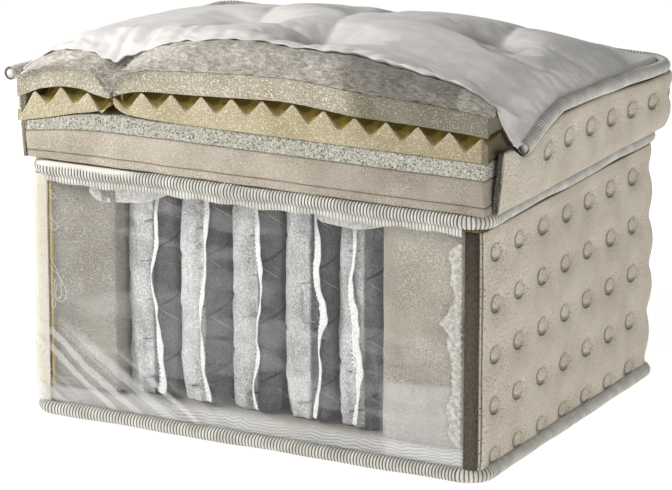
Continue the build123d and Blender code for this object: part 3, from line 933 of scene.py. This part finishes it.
def fold_finish():
    """The film's cut edge, folded back with wadding in it: a cloudy white skin."""
    material, start, sockets = new_finish("folded_film", 0.45, 0.1, 0.4)
    place = start.place()
    cloud = start.grain(place, 0.0045, 3.0).ramp(0.3, 0.7)
    sockets["Base Color"].default_value = tone(214, 211, 203)
    start.feed(sockets["Alpha"], cloud * 0.45 + 0.25)
    start.feed(sockets["Normal"], start.bump(cloud, 0.0016))
    return material


fibre = fibre_finish()
fluff = wrap("window_edge_wadding", 16, 220, fluff_place, (0.02, 0.2), fill=True)
fluff.data.materials.append(fold_finish())
press_skin(fluff, None)


def thread(points, radius=0.00022):
    """One torn thread: a smooth bevelled line as a mesh."""
    line = bpy.data.curves.new("thread", "CURVE")
    line.dimensions, line.bevel_depth, line.bevel_resolution, line.resolution_u = "3D", radius, 1, 6
    spline = line.splines.new("NURBS")
    spline.points.add(len(points) - 1)
    for point, spot in zip(spline.points, points):
        point.co = (*spot, 1)
    spline.order_u, spline.use_endpoint_u = 3, True
    strand = bpy.data.objects.new("thread", line)
    bpy.context.collection.objects.link(strand)
    select_only(strand)
    bpy.ops.object.convert(target="MESH")
    return bpy.context.object


# each thread's height, how far it hangs down, and how far it stands off
TORN = ((0.188, 0.012, 0.010), (0.150, 0.040, 0.014), (0.142, 0.034, 0.019), (0.213, 0.008, 0.008),
        (0.118, 0.016, 0.006))
edge_x, edge_y = -WINDOW_HALF + 0.001, film_low[1] - 0.0022
threads = []
for height, drop, reach in TORN:
    threads.append(thread([
        (edge_x, edge_y, height),
        (edge_x + reach * 0.5, edge_y - 0.0006, height - drop * 0.2),
        (edge_x + reach, edge_y, height - drop * 0.7),
        (edge_x + reach * 0.7, edge_y - 0.0008, height - drop),
        (edge_x + reach * 0.2, edge_y, height - drop * 0.9),
        (edge_x + reach * 0.4, edge_y, height - drop * 0.5),
    ]))
torn_threads = join(threads, "torn_threads")
torn_threads.data.materials.append(seam_cloth)
press_skin(torn_threads, None)


# ---------------------------------------------------------------------------------------------------
# Middle edge tape: the same ribbed tape over the seam between spring unit and pillow top, and below it
# at the front the tape's woven edge, which is stitched down over the film.
# ---------------------------------------------------------------------------------------------------
middle_low, middle_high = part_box("middle_tape")
MIDDLE_Z = (middle_low[2] + middle_high[2]) / 2


def middle_lift(x, y):
    droop = 0.0038 * np.exp(-np.hypot(x + HALF_W, y + HALF_D) / 0.07)
    return MIDDLE_Z - droop + 0.0006 * np.sin(x * 47 + y * 39)


tube = edge_tape("middle_tube", ring, middle_lift, lap=ring.length - 0.225)


FLANGE_WIDE = 0.416


def flange_place(u, v):
    x = FLANGE_WIDE * (u - 0.5)
    top = middle_lift(x, -HALF_D + 0 * x) - SEAM_RADIUS + 0.0022
    deep = 0.0072 + 0.0008 * np.sin(x * 160) + 0.0005 * np.sin(x * 71)
    out = 0.0016 + 0.0012 * np.sin(v * math.pi) + 0.0005 * np.abs(np.sin(x * math.pi / RIB_PITCH))
    return x, film_low[1] - 0.0016 - out, top - deep * (1 - v)


flange = wrap("flange", 640, 6, flange_place, (FLANGE_WIDE, 0.008))
thicken(flange, 0.0009)
flange.data.materials.append(tape)
middle_tape = join([tube, flange], "middle_edge_tape")
fit(middle_tape, "comfort_top", "middle_tape")


# ---------------------------------------------------------------------------------------------------
# Cover sheet over the springs: thin non-woven cloth. Two loose flaps of it hang down in front of the
# pockets, behind the film. The felt pad that spreads the load lies on it.
# ---------------------------------------------------------------------------------------------------
def flap(name, left_x, right_x, drop, seed):
    """A loose flap that hangs from the sheet's front edge, longest to the left of its middle."""

    def place(u, v):
        x = left_x + (right_x - left_x) * u
        deep = drop * np.sin(math.pi * u ** 0.6) ** 0.8 * (1 + 0.06 * np.sin(u * 11 + seed))
        z = UPPER_EDGE - 0.0005 - deep * v - 0.002 * v
        sway = 0.0011 * np.sin(u * 9 + seed) * v - 0.0004 * np.sin(u * 40) * v
        return x, film_low[1] + 0.0036 - sway, z

    cloth = wrap(name, 48, 14, place, (0.07, 0.03))
    thicken(cloth, 0.0005)
    cloth.data.materials.append(cover_cloth)
    return cloth


def cover_finish():
    """White non-woven cloth, thin enough to look a little uneven."""
    material, start, sockets = new_finish("cover_cloth", 0.9, 0.2, 0.2)
    place = start.place()
    fibres = start.grain(place, 0.0030, 4.0).ramp(0.3, 0.7)
    start.feed(sockets["Base Color"], fibres.mix(tone(176, 174, 168), tone(214, 212, 206)))
    start.feed(sockets["Normal"], start.bump(fibres, 0.0005))
    return material


cover_cloth = cover_finish()
cover = foam_block(
    "cover_cloth_sheet", *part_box("spring_cover_sheet"), cover_cloth, edge=0.0002, cuts=12, rough=0.0)
flaps = [flap("flap_left", -0.172, -0.078, 0.0190, 0.4), flap("flap_right", 0.060, 0.150, 0.012, 2.0)]
cover = join([cover, *flaps], "spring_cover")
fit(cover, "comfort_top", "spring_cover_sheet")

pad = foam_block("felt_pad", *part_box("insulator_pad"), felt, edge=0.002, cuts=10)
fit(pad, "comfort_top", "insulator_pad")


# ---------------------------------------------------------------------------------------------------
# Flat comfort foams: a thin base foam, a firm beige foam and the speckled memory foam. They lie loose
# on each other; at the left end of the cut the tape pulls them down.
# ---------------------------------------------------------------------------------------------------
PILLOW_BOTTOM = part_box("pillow_base_foam")[0][2]
MEMORY_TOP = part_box("memory_foam")[1][2]
CUT_Y = -0.186


def outline(*points):
    """A smooth line over x through a few points, given in millimetres."""
    spots = np.linspace(-0.26, 0.26, 521)
    heights = np.interp(spots * 1000, *zip(*points)) / 1000
    window = np.hanning(15)[1:-1]
    smooth = np.convolve(np.pad(heights, 6, mode="edge"), window / window.sum(), mode="valid")
    return lambda x: np.interp(x, spots, smooth)


# top of the memory foam along the cut: pulled down at the left, flat everywhere else
memory_line = outline(
    (-243, 272.5), (-231, 275), (-207, 280), (-176, 287), (-150, 289.6), (-120, 290), (232, 289.4),
)


def left_droop(x, z):
    """How far the tape pulls the foams down at the cut's left end."""
    share = np.clip((z - PILLOW_BOTTOM) / (MEMORY_TOP - PILLOW_BOTTOM), 0, 1)
    return (MEMORY_TOP - memory_line(x)) * share ** 1.4


def memory_finish():
    """Memory foam filled with gel beads: pale grey-cream, with fine grey specks and a few blue ones."""
    material, start, sockets = new_finish("memory_foam", 1.0, 0.05, 0.2)
    place = start.place()
    beads = start.cells(place, 0.0012, out="Color")
    parts = start.node("SeparateColor", inputs={"Color": beads})
    first, second = (Shade(start.tree, parts.socket.node.outputs[n]) for n in (0, 1))
    pores = start.grain(place, 0.0016, 2.0).ramp(0.35, 0.65)
    body = (first * 0.6 + pores * 0.4).mix(tone(132, 130, 116), tone(222, 219, 204))
    blue = first.ramp(0.975, 0.98).mix(body, tone(98, 122, 150))
    start.feed(sockets["Base Color"], second.ramp(0.91, 0.93).mix(blue, tone(112, 110, 98)))
    start.feed(sockets["Normal"], start.bump(pores * 0.6 + first * 0.4, 0.0014))
    return material


comfort = foam_finish(
    "comfort_foam", tone(156, 145, 128), tone(220, 209, 193), 0.0009, 0.0008, 0.6,
    right_shade=0.24, right_shade_x=-0.05, right_shade_width=0.28,
)
for name, node, material, slot in (
    ("pillow_base_sheet", "pillow_base_foam", comfort, "lining_foam"),
    ("firm_beige_foam", "comfort_foam", comfort, "comfort_foam"),
    ("speckled_memory_foam", "memory_foam", memory_finish(), "memory_foam"),
):
    layer = foam_block(name, *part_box(node), material, edge=0.0022, cuts=24)
    sculpt(layer, lambda x, y, z: (x + 0.0008 * np.sin(z * 150 + y * 20), y, z - left_droop(x, z)))
    fit(layer, "comfort_top", node)


# ---------------------------------------------------------------------------------------------------
# Egg-crate foam and the flat quilting foam on it. Both are sewn down at a tuft near the left of the
# cut, so there they end in round noses: a short left lobe and a long right one.
# ---------------------------------------------------------------------------------------------------
RIM_Z = 0.3055  # seam in which every quilted layer ends
BACK_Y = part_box("top_panel")[1][1]
RIM_X = 0.2375
CROWN = 0.0665
PINCH_X = -0.1385
LOBES = ((-0.2365, PINCH_X - 0.0018, 0, 1), (PINCH_X + 0.0022, 0.2315, 1, 0))  # ends, and which are noses
EGG_DEPTH = 0.0158
# the tops of the fibre, the quilting foam and the egg-crate foam along the cut
crest_line = outline(
    (-244, 314), (-230, 327), (-215, 334.5), (-197, 340), (-175, 342), (-158, 339), (-147, 333), (-138, 329),
    (-128, 339), (-103, 354), (-67, 365.5), (-27, 372), (20, 374), (90, 371.5), (126, 367), (161, 363.5),
    (195, 358.5), (218, 352.5), (235, 344), (245, 334),
)
quilt_line = outline(
    (-244, 310), (-222, 321), (-200, 328), (-175, 329.8), (-159, 328), (-140, 325), (-120, 330),
    (-103, 334.5), (-66, 337.6), (0, 341.5), (50, 342.5), (100, 338), (155, 336), (195, 334), (232, 330),
)
peak_line = outline(
    (-244, 293), (-228, 300), (-213, 306.5), (-191, 311), (-169, 311), (-160, 308), (-140, 304.5),
    (-134, 309), (-115, 314), (-97, 316), (-66, 317), (30, 322), (55, 321), (103, 316.5), (161, 315.5),
    (218, 313), (232, 311.5),
)


# the right side's seam from the cut to the back, as (y, height): it bows up and droops at both ends
BOW = ((-0.140, -0.016), (-0.122, -0.013), (-0.092, -0.002), (-0.055, 0.006), (0.030, 0.005),
       (0.140, -0.004), (0.200, -0.005))


def rim_height(x, y):
    """The seam's height. On the left it rises toward the cut."""
    left = 0.0080 * soft_step((0.12 - y) / 0.28) * soft_step((-0.05 - x) / 0.19)
    return RIM_Z + left + np.interp(y, *zip(*BOW)) * soft_step((x - 0.02) / 0.20)


def crown_height(x, y):
    """The sleeping surface without its dimples: highest at the cut, sloping down to the back and sides."""
    rim = rim_height(x, y)
    along = np.clip((y - CUT_Y) / (BACK_Y + 0.004 - CUT_Y), 0, 1)
    across = np.clip(np.abs(x) / 0.2395, 0, 1)
    swell = CROWN * (0.60 * (1 - across ** 2.8) + 0.40 * (1 - across ** 13))
    swell = swell * (1 - 0.20 * soft_step((-x - 0.01) / 0.16) * soft_step((y - CUT_Y) / 0.06))
    share = soft_step((y - CUT_Y) / 0.050)
    return rim + (swell * share + (crest_line(x) - rim) * (1 - share)) * (1 - along ** 3)


def into_depth(line, plain, x, y):
    """A level that follows its outline at the cut and turns plain behind it."""
    share = soft_step((y - CUT_Y - 0.010) / 0.08)
    return line(x) * (1 - share) + plain * share


def peak_plane(x, y):
    """The level where the egg-crate foam's peaks meet the quilting foam."""
    return into_depth(peak_line, RIM_Z + (crown_height(x, y) - RIM_Z) * 0.235, x, y)


TUFTS = ((-0.062, -0.072), (0.036, -0.122), (0.148, 0.0), (-0.092, 0.088), (0.004, 0.038))


def tufted_height(x, y):
    """The sleeping surface with its dimples, the pleats between them, and the pinch at the cut."""
    height = crown_height(x, y)
    for tuft_x, tuft_y in TUFTS:
        away = np.hypot(x - tuft_x, (y - tuft_y) * 0.9)
        height = height - 0.0165 * np.exp(-(away / 0.030) ** 1.6) - 0.0100 * np.exp(-(away / 0.009) ** 1.5)
        behind = y - tuft_y
        line = x - (tuft_x - behind * 0.19)
        pleat = np.exp(-np.clip(behind, 0, None) / 0.10) * soft_step(behind / 0.015)
        height = height - 0.0068 * pleat * np.exp(-np.abs(line) / 0.012)
        side = y - (tuft_y + (x - tuft_x) * 0.35)
        reach = np.exp(-np.abs(x - tuft_x) / 0.06)
        height = height - 0.0045 * reach * np.exp(-(side / 0.016) ** 2)
    pinch = np.exp(-np.abs(x - PINCH_X) / 0.013) * np.exp(-(y - CUT_Y) / 0.05)
    height = height - 0.014 * pinch
    share = np.clip((-0.164 - y) / 0.024, 0, 0.999)
    return height - 0.010 * (1 - np.sqrt(1 - share ** 2))


def quilt_top(x, y):
    """Top of the quilting foam: under the surface even in the dimples, and above the peaks."""
    plain = RIM_Z + np.minimum((crown_height(x, y) - RIM_Z) * 0.585, 0.0375)
    plain = np.maximum(np.minimum(plain, tufted_height(x, y) - 0.0115), peak_plane(x, y) + 0.001)
    return into_depth(quilt_line, plain, x, y)


def egg_bottom(x, y):
    """Underside of the egg-crate foam: on the memory foam, and drawn up at the pinch."""
    lifted = 0.006 * np.exp(-np.abs(x - PINCH_X) / 0.018) * (y < CUT_Y + 0.04)
    return into_depth(memory_line, MEMORY_TOP, x, y) + lifted + 0.0002


def triangle_wave(value, pitch):
    """From -1 to 1 and back over one pitch, with slightly rounded tips."""
    turn = (value / pitch) % 1
    return 0.78 * (2 * np.abs(2 * turn - 1) - 1) + 0.22 * np.cos(2 * math.pi * turn)


def egg_top(x, y):
    """The egg-crate foam's peaks and hollows. Each lobe has its own pitch."""
    across = np.where(x < PINCH_X, triangle_wave(x + 0.1905, 0.0280), triangle_wave(x + 0.0165, 0.0303))
    wave = across * triangle_wave(y - CUT_Y, 0.034)
    return peak_plane(x, y) - EGG_DEPTH * (0.5 - 0.5 * wave) - 0.0006


NOSE_LONG, NOSE_SHARE = 0.014, 0.52


def nose(x, ends):
    """1 along a lobe, falling to half in a quarter round at each end that is a nose."""
    start_x, end_x, start_nose, end_nose = ends
    share = np.ones_like(x)
    for is_nose, inside in ((start_nose, x - start_x), (end_nose, end_x - x)):
        if is_nose:
            round_off = np.sqrt(1 - (1 - np.clip(inside / NOSE_LONG, 0, 1)) ** 2)
            share = share * (NOSE_SHARE + (1 - NOSE_SHARE) * round_off)
    return share


def block_section(v, front, crest, rear, back_y, ease=1.0):
    """How a layer's grid runs up the cut, along the top, down the back and along the bottom.

    Gives y, the share of the layer's height, and which vertices are on the cut or the top.
    """
    on_face, on_top, on_back = v < front, v < crest, v < rear
    depth = np.clip((v - front) / (crest - front), 0, 1) ** ease
    y = np.select(
        [on_face, on_top, on_back],
        [CUT_Y + 0 * v, CUT_Y + (back_y - CUT_Y) * depth, back_y + 0 * v],
        back_y + (CUT_Y - back_y) * (v - rear) / (1 - rear),
    )
    going_down = 1 - (v - crest) / (rear - crest)
    share = np.select([on_face, on_top, on_back], [v / front, 1 + 0 * v, going_down], 0 * v)
    return y, share, on_face, on_top


def lobe_place(ends, bottom, top):
    """One lobe of a layer. Behind the cut it is a little narrower, to clear the border."""
    start_x, end_x = ends[:2]

    def place(u, v):
        x = start_x + (end_x - start_x) * (u - 0.10 * np.sin(2 * math.pi * u) / math.pi)
        y, share, on_face, _ = block_section(v, 0.10, 0.80, 0.84, BACK_Y - 0.008)
        x = x * (1 - 0.022 * soft_step((y - CUT_Y - 0.003) / 0.016))
        middle = peak_plane(x, y)
        low, high = (middle + (level - middle) * nose(x, ends) for level in (bottom(x, y), top(x, y)))
        return x, y - 0.0007 * np.sin(share * math.pi) * on_face, low + (high - low) * share

    return place


egg_foam = foam_finish(
    "egg_crate_foam", tone(170, 154, 112), tone(232, 221, 192), 0.0011, 0.0013, 0.65,
    yellow=tone(172, 148, 74), right_shade=0.15,
)
quilting_foam = foam_finish(
    "quilting_foam", tone(156, 143, 112), tone(238, 230, 212), 0.0011, 0.0016, 0.75, right_shade=0.55)
for name, node, material, slot, cells, bottom, top in (
    ("egg_crate", "convoluted_foam", egg_foam, "egg_crate_foam", 0.0022, egg_bottom, egg_top),
    ("flat_quilting_foam", "quilt_foam", quilting_foam, "quilt_foam", 0.0036, peak_plane, quilt_top),
):
    halves = []
    for ends in LOBES:
        wide = ends[1] - ends[0]
        columns, rows = round(wide / cells), 10 * round(0.056 / cells)
        halves.append(wrap("lobe", columns, rows, lobe_place(ends, bottom, top), (wide, 0.5), fill=True))
    layer = join(halves, name)
    layer.data.materials.append(material)
    select_only(layer)
    bpy.ops.object.shade_smooth_by_angle(angle=math.radians(50))
    fit(layer, "comfort_top", node)


# ---------------------------------------------------------------------------------------------------
# Fibre wadding: a thick fleece of loose polyester fibre between the quilting foam and the knitted
# surface, torn at the cut, with single fibres standing out of it.
# ---------------------------------------------------------------------------------------------------
def evenly_across(u, half_width):
    """x for a grid that is a little finer near both sides."""
    turn = 2 * u - 1
    return half_width * (1.2 * turn - 0.2 * turn ** 3)


def fibre_place(u, v):
    """The fleece: on the quilting foam, under the surface, and shaggy on the cut."""
    x = evenly_across(u, 0.2362)
    y, share, on_face, on_top = block_section(v, 0.24, 0.74, 0.77, BACK_Y - 0.006, ease=1.3)
    x = x * (1 - 0.045 * soft_step((y - CUT_Y - 0.004) / 0.02))
    rounded = np.where(x < PINCH_X, nose(x, LOBES[0]), nose(x, LOBES[1]))
    middle = peak_plane(x, y)
    low = middle + (quilt_top(x, y) - middle) * rounded + 0.0004
    low = low - 0.010 * np.exp(-((x + 0.1445) / 0.008) ** 2) * (y < CUT_Y + 0.01)
    sunk = 0.0022 + 0.0068 * soft_step((y - CUT_Y - 0.035) / 0.03)
    high = np.maximum(tufted_height(x, y) - sunk, low + 0.0008)
    shag = lumps(x, y * 0.6 + share * 0.02, share * 0.03, 0.007, 3.0) * 0.0018
    shag = shag + lumps(x, y, share * 0.05, 0.0028, 9.0) * 0.0008
    torn = on_face | (on_top & (y < CUT_Y + 0.030))
    swell = 0.0030 * np.sin(share * math.pi) * on_face
    y = y - np.where(torn, shag, 0) * (share < 1) - swell
    z = low + (high - low) * share + np.where(torn & (share >= 1), shag * 0.6, 0)
    return x, y, z


fleece = wrap("fibre_fleece", 200, 150, fibre_place, (0.47, 0.5), fill=True)
fleece.data.materials.append(fibre)

FIBRES, FIBRE_STEPS = 4200, 4
draw = np.random.default_rng(7)
root = np.stack(fibre_place(draw.uniform(0.004, 0.996, FIBRES), draw.uniform(0.0, 0.33, FIBRES)), axis=-1)
lie = draw.normal(0, 1, (FIBRES, 3)) * (1.0, 0.25, 0.55) + (0, -0.25, 0.15)
lie /= np.linalg.norm(lie, axis=1)[:, None]
curl = draw.normal(0, 1, (FIBRES, 3)) * (0.8, 0.2, 0.8)
long = draw.uniform(0.003, 0.011, FIBRES)[:, None]
spots = []
for step in range(FIBRE_STEPS + 1):
    share = step / FIBRE_STEPS
    spot = root + lie * long * share + curl * long * 0.35 * share ** 2
    spot[:, 1] = np.minimum(spot[:, 1], root[:, 1] - 0.0001)
    wide = 0.00008 * (1 - share * 0.6)
    for way in (-1, 1):
        spots.append(spot + np.array([0.3, 0, 1.0]) * wide * way)
firsts = [n * 2 * (FIBRE_STEPS + 1) + step * 2 for n in range(FIBRES) for step in range(FIBRE_STEPS)]
faces = [(first, first + 1, first + 3, first + 2) for first in firsts]
fuzz_mesh = bpy.data.meshes.new("fuzz")
fuzz_mesh.from_pydata(np.stack(spots, axis=1).reshape(-1, 3).tolist(), [], faces)
fuzz = bpy.data.objects.new("standing_fibres", fuzz_mesh)
bpy.context.collection.objects.link(fuzz)
fuzz_mesh.materials.append(fibre)
fit(fleece, "comfort_top", "fibre_wadding")
fit(fuzz, "comfort_top", None)


# ---------------------------------------------------------------------------------------------------
# Knitted top panel: soft off-white knit, tufted down in dimples with pleats running back from them,
# and torn off unevenly just behind the cut.
# ---------------------------------------------------------------------------------------------------
def knit_finish():
    """Fine knit: rows of tiny loops, soft slubs, and painted shade darkening each dimple."""
    material, start, sockets = new_finish("fine_knit", 0.95, 0.15, 0.15)
    place = start.place()
    loops = start.grain(place, 0.0010, 2.0, (1.0, 1.6, 1.0))
    slubs = start.grain(place, 0.010, 3.0, (0.5, 1.0, 1.0)).ramp(0.3, 0.7)
    colour = (loops * 0.7 + slubs * 0.3).mix(tone(200, 196, 191), tone(238, 235, 231))
    x, y, _ = start.parts(place)
    # painted shade round each tuft's dimple
    for tuft_x, tuft_y in TUFTS:
        off_x, off_y = x - tuft_x, y - tuft_y
        away = start.maths("SQRT", off_x * off_x * 0.5 + off_y * off_y)
        colour = ((1 - away.ramp(0.002, 0.030)) * 0.65).mix(colour, tone(104, 100, 94))
    start.feed(sockets["Base Color"], colour)
    start.feed(sockets["Normal"], start.bump(loops * 0.7 + slubs * 0.3, 0.0006))
    return material


def raw_edge(x):
    """Where the panel's torn edge lies, behind the cut."""
    tear = 0.0018 * np.sin(x * 61 + 1) + 0.0012 * np.sin(x * 143) + 0.0008 * np.sin(x * 391 + 2)
    return -0.1755 + 0.0220 * soft_step((x - 0.210) / 0.030) + 0.003 * soft_step((-x - 0.1) / 0.1) + tear


def panel_place(u, v):
    """The surface before it is draped: over the pinch like a bridge, and always above the foam."""
    x = evenly_across(u, RIM_X)
    edge = raw_edge(x)
    y = edge + (BACK_Y + 0.002 - edge) * v ** 1.12
    from_edge = y - edge
    bridge = 0.016 * np.exp(-((x - PINCH_X) / 0.014) ** 2) * np.exp(-from_edge / 0.035)
    over_foam = np.where((np.abs(x) < 0.2285) & (y < BACK_Y - 0.012), quilt_top(x, y) + 0.0045, 0)
    return x, y, np.maximum(tufted_height(x, y) + bridge, over_foam)


surface = wrap("knitted_surface", 150, 130, panel_place, (0.475, 0.37))
start_spots = np.empty(len(surface.data.vertices) * 3)
surface.data.vertices.foreach_get("co", start_spots)
start_x, start_y, start_z = start_spots.reshape(-1, 3).T
held = (np.abs(start_x) > RIM_X - 0.002) | (start_y > BACK_Y - 0.001) | (start_y < raw_edge(start_x) + 0.004)
for tuft_x, tuft_y in TUFTS:
    held |= np.hypot(start_x - tuft_x, start_y - tuft_y) < 0.0045
pins = surface.vertex_groups.new(name="held")
pins.add(np.flatnonzero(held).tolist(), 1.0, "REPLACE")
drape = surface.modifiers.new("drape", "CLOTH")
drape.settings.vertex_group_mass = "held"
drape.settings.quality = 5
drape.settings.mass = 0.15
drape.settings.tension_stiffness = drape.settings.compression_stiffness = 20
drape.settings.shear_stiffness = 8
drape.settings.bending_stiffness = 0.6
drape.settings.shrink_min = -0.022
drape.settings.use_pressure = True
drape.settings.uniform_pressure_force = 1.6
drape.settings.effector_weights.gravity = 0
drape.collision_settings.use_collision = False
DRAPE_FRAMES = 24
for frame_number in range(1, DRAPE_FRAMES + 1):
    bpy.context.scene.frame_set(frame_number)
apply_modifiers(surface)
bpy.context.scene.frame_set(1)


SIDEWAYS = 0.0035  # how far the drape may shift the panel


def capped(x, y, z):
    """The draped panel, kept within a few millimetres of where it started and clear of the fleece."""
    move_x, move_y, move_z = x - start_x, y - start_y, z - start_z
    side = [np.clip(move, -SIDEWAYS, SIDEWAYS) for move in (move_x, move_y)]
    inside = soft_step((0.215 - np.abs(start_x)) / 0.02) * soft_step((BACK_Y - 0.03 - start_y) / 0.02)
    down = 0.0008 + 0.0050 * soft_step((start_y - CUT_Y - 0.035) / 0.03) * inside
    to_tufts = [np.hypot(start_x - tuft_x, start_y - tuft_y) for tuft_x, tuft_y in TUFTS]
    nearest = np.min(to_tufts, axis=0)
    up = 0.0004 + 0.0036 * (1 - np.exp(-(nearest / 0.030) ** 2))
    return start_x + side[0], start_y + side[1], start_z + np.clip(move_z, -down, up)


sculpt(surface, capped)
smooth = surface.modifiers.new("smooth", "SUBSURF")
smooth.levels = smooth.render_levels = 1
apply_modifiers(surface)


def finely_folded(x, y, z):
    """Small folds along the torn edge, stronger toward the right."""
    from_edge = np.clip(y - raw_edge(x), 0, None)
    corner = soft_step((x - 0.02) / 0.12)
    reach = 0.006 + 0.012 * corner
    folds = (0.0003 + 0.0013 * corner) * np.sin(from_edge * 1000 + x * 14) * np.exp(-from_edge / reach)
    lift = 0.0008 * np.exp(-from_edge / 0.004) * np.sin(x * 260)
    raised = 0.0016 * corner * np.exp(-from_edge / reach)
    return x, y, z + folds * soft_step((x + 0.1) / 0.1) + lift + raised


sculpt(surface, finely_folded)
thicken(surface, 0.0014, -1)
surface.data.materials.append(knit_finish())
fit(surface, "comfort_top", "top_panel")


# ---------------------------------------------------------------------------------------------------
# Tuft cords: white cords that hold each dimple down, knotted under the foams. The first one holds the
# pinch at the cut.
# ---------------------------------------------------------------------------------------------------
CORD_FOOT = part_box("tuft_cords")[0][2]
CORD_RADIUS, CORD_SUNK = 0.0011, 0.012
PINCH_TUFT = (-0.138, -0.168)
cords = []
for tuft_x, tuft_y in (PINCH_TUFT, *TUFTS):
    cord_top = float(tufted_height(np.array([tuft_x]), np.array([tuft_y]))[0]) - CORD_SUNK
    bpy.ops.mesh.primitive_cylinder_add(
        vertices=16, radius=CORD_RADIUS, depth=cord_top - CORD_FOOT,
        location=(tuft_x, tuft_y, (cord_top + CORD_FOOT) / 2),
    )
    settle(bpy.context.object)
    bpy.ops.object.shade_smooth_by_angle()
    cords.append(bpy.context.object)
tuft_cords = join(cords, "tuft_strings")
tuft_cords.data.materials.append(seam_cloth)
fit(tuft_cords, "comfort_top", "tuft_cords")


# ---------------------------------------------------------------------------------------------------
# Upper border: the same ticking with one row of rings, over its thin foam. It leans out to the top
# tape, and at its cut front edges the raw lining shows.
# ---------------------------------------------------------------------------------------------------
upper_low, upper_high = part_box("upper_border")
UPPER_BOTTOM, UPPER_TOP = upper_low[2], upper_high[2]
UPPER_SIDE, UPPER_BACK = 0.2345, 0.1935
UPPER_FRONT = -0.170
UPPER_FIRST, UPPER_PITCH, UPPER_ROW = 0.0950, 0.0445, 0.0360
ONE_ROW = 0.2  # a row pitch taller than this border, so it has one row


def upper_lean(x, y, z):
    """Leans outward with height. At the cut it stands in a little on the left and out on the right."""
    share = (z - UPPER_BOTTOM) / (UPPER_TOP - UPPER_BOTTOM)
    at_cut = np.exp(-(y - CUT_Y).clip(0, None) / 0.035) * (np.abs(x) > 0.22)
    return 0.0055 * share + at_cut * np.where(x < 0, -0.0035, 0.0015 * share)


upper_route = Route(
    [(UPPER_SIDE, UPPER_FRONT), (UPPER_SIDE, UPPER_BACK), (-UPPER_SIDE, UPPER_BACK), (-UPPER_SIDE, CUT_Y)],
    [0, 0.012, 0.012, 0],
)
upper_cloth = ticking_finish(
    "upper_ticking", UPPER_FIRST, UPPER_PITCH, UPPER_ROW, ONE_ROW, upper_route.length - LAST_MARK)
upper_ticking = quilted_border(
    "upper_border_ticking", upper_route, UPPER_BOTTOM, UPPER_TOP,
    UPPER_FIRST, UPPER_PITCH, UPPER_ROW, ONE_ROW, upper_lean, upper_cloth, thickness=0.0026,
)
raw_lining = foam_finish(
    "raw_lining", tone(150, 140, 120), tone(214, 206, 190), 0.0022, 0.0026, right_shade=0.8, right_shade_x=0.0)
LINING_SIDE, LINING_BACK = UPPER_SIDE - 0.0029, UPPER_BACK - 0.0029
upper_lining_route = Route(
    [(LINING_SIDE, UPPER_FRONT - 0.002), (LINING_SIDE, LINING_BACK),
     (-LINING_SIDE, LINING_BACK), (-LINING_SIDE, CUT_Y + 0.001)],
    [0, 0.009, 0.009, 0],
)
upper_lining = lining_foam_block(
    "upper_border_lining", upper_lining_route, UPPER_BOTTOM + 0.001, UPPER_TOP - 0.001,
    upper_lean, 0.0030, raw_lining,
)


def follow_seam(x, y, z):
    """Stretches the border's height so its top edge follows the seam."""
    share = np.clip((z - UPPER_BOTTOM) / (UPPER_TOP - UPPER_BOTTOM), 0, 1)
    bare_end = 0.013 * soft_step((-0.128 - y) / 0.03) * (x > 0)
    return x, y, z + (rim_height(x, y) - RIM_Z + bare_end) * share


for piece, node, slot in (
    (upper_ticking, "upper_border", "ticking"), (upper_lining, "upper_border_foam", "lining_foam"),
):
    sculpt(piece, follow_seam)
    fit(piece, "comfort_top", node)


# ---------------------------------------------------------------------------------------------------
# Top edge tape: round the sleeping surface on three sides. Both front ends are cut off, so the rolled
# seam shows in them; the left one stands out a little, and the right one droops.
# ---------------------------------------------------------------------------------------------------
top_low, top_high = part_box("top_tape")
TOP_SIDE, TOP_BACK = top_high[0] - SEAM_INSET, top_high[1] - SEAM_INSET
TOP_Z = (top_low[2] + top_high[2]) / 2
RIGHT_END, LEFT_END = -0.130, top_low[1]


def top_lift(x, y):
    """Height of the top seam, a little above the rim of the quilted layers."""
    return rim_height(x, y) + TOP_Z - RIM_Z + 0.0009 * np.sin(y * 37 + x * 15)


top_route = Route(
    [(TOP_SIDE, RIGHT_END), (TOP_SIDE, TOP_BACK), (-TOP_SIDE, TOP_BACK),
     (-TOP_SIDE - 0.004, -0.10), (-TOP_SIDE - 0.0085, LEFT_END)],
    [0, 0.030, 0.016, 0.2, 0],
)
top_tube = edge_tape("top_edge_tape", top_route, top_lift, radius=0.0064)
fit(top_tube, "comfort_top", "top_tape")


CORE_RADIUS = 0.0046


def core_place(u, v):
    """The rolled seam inside the tape, three-sided from its rolling."""
    distance, angle = top_route.length * (0.001 + 0.998 * u), v * 2 * math.pi
    x, y, out_x, out_y = top_route.at(distance)
    reach = CORE_RADIUS * (1 + 0.12 * np.sin(angle * 3))
    side = np.cos(angle) * reach
    return x + out_x * side, y + out_y * side, top_lift(x, y) + np.sin(angle) * reach


top_core = wrap("top_rolled_seam", 300, 12, core_place, (1.2, 0.03), fill=True)
top_core.data.materials.append(seam_cloth)
fit(top_core, "comfort_top", "top_seam_core")
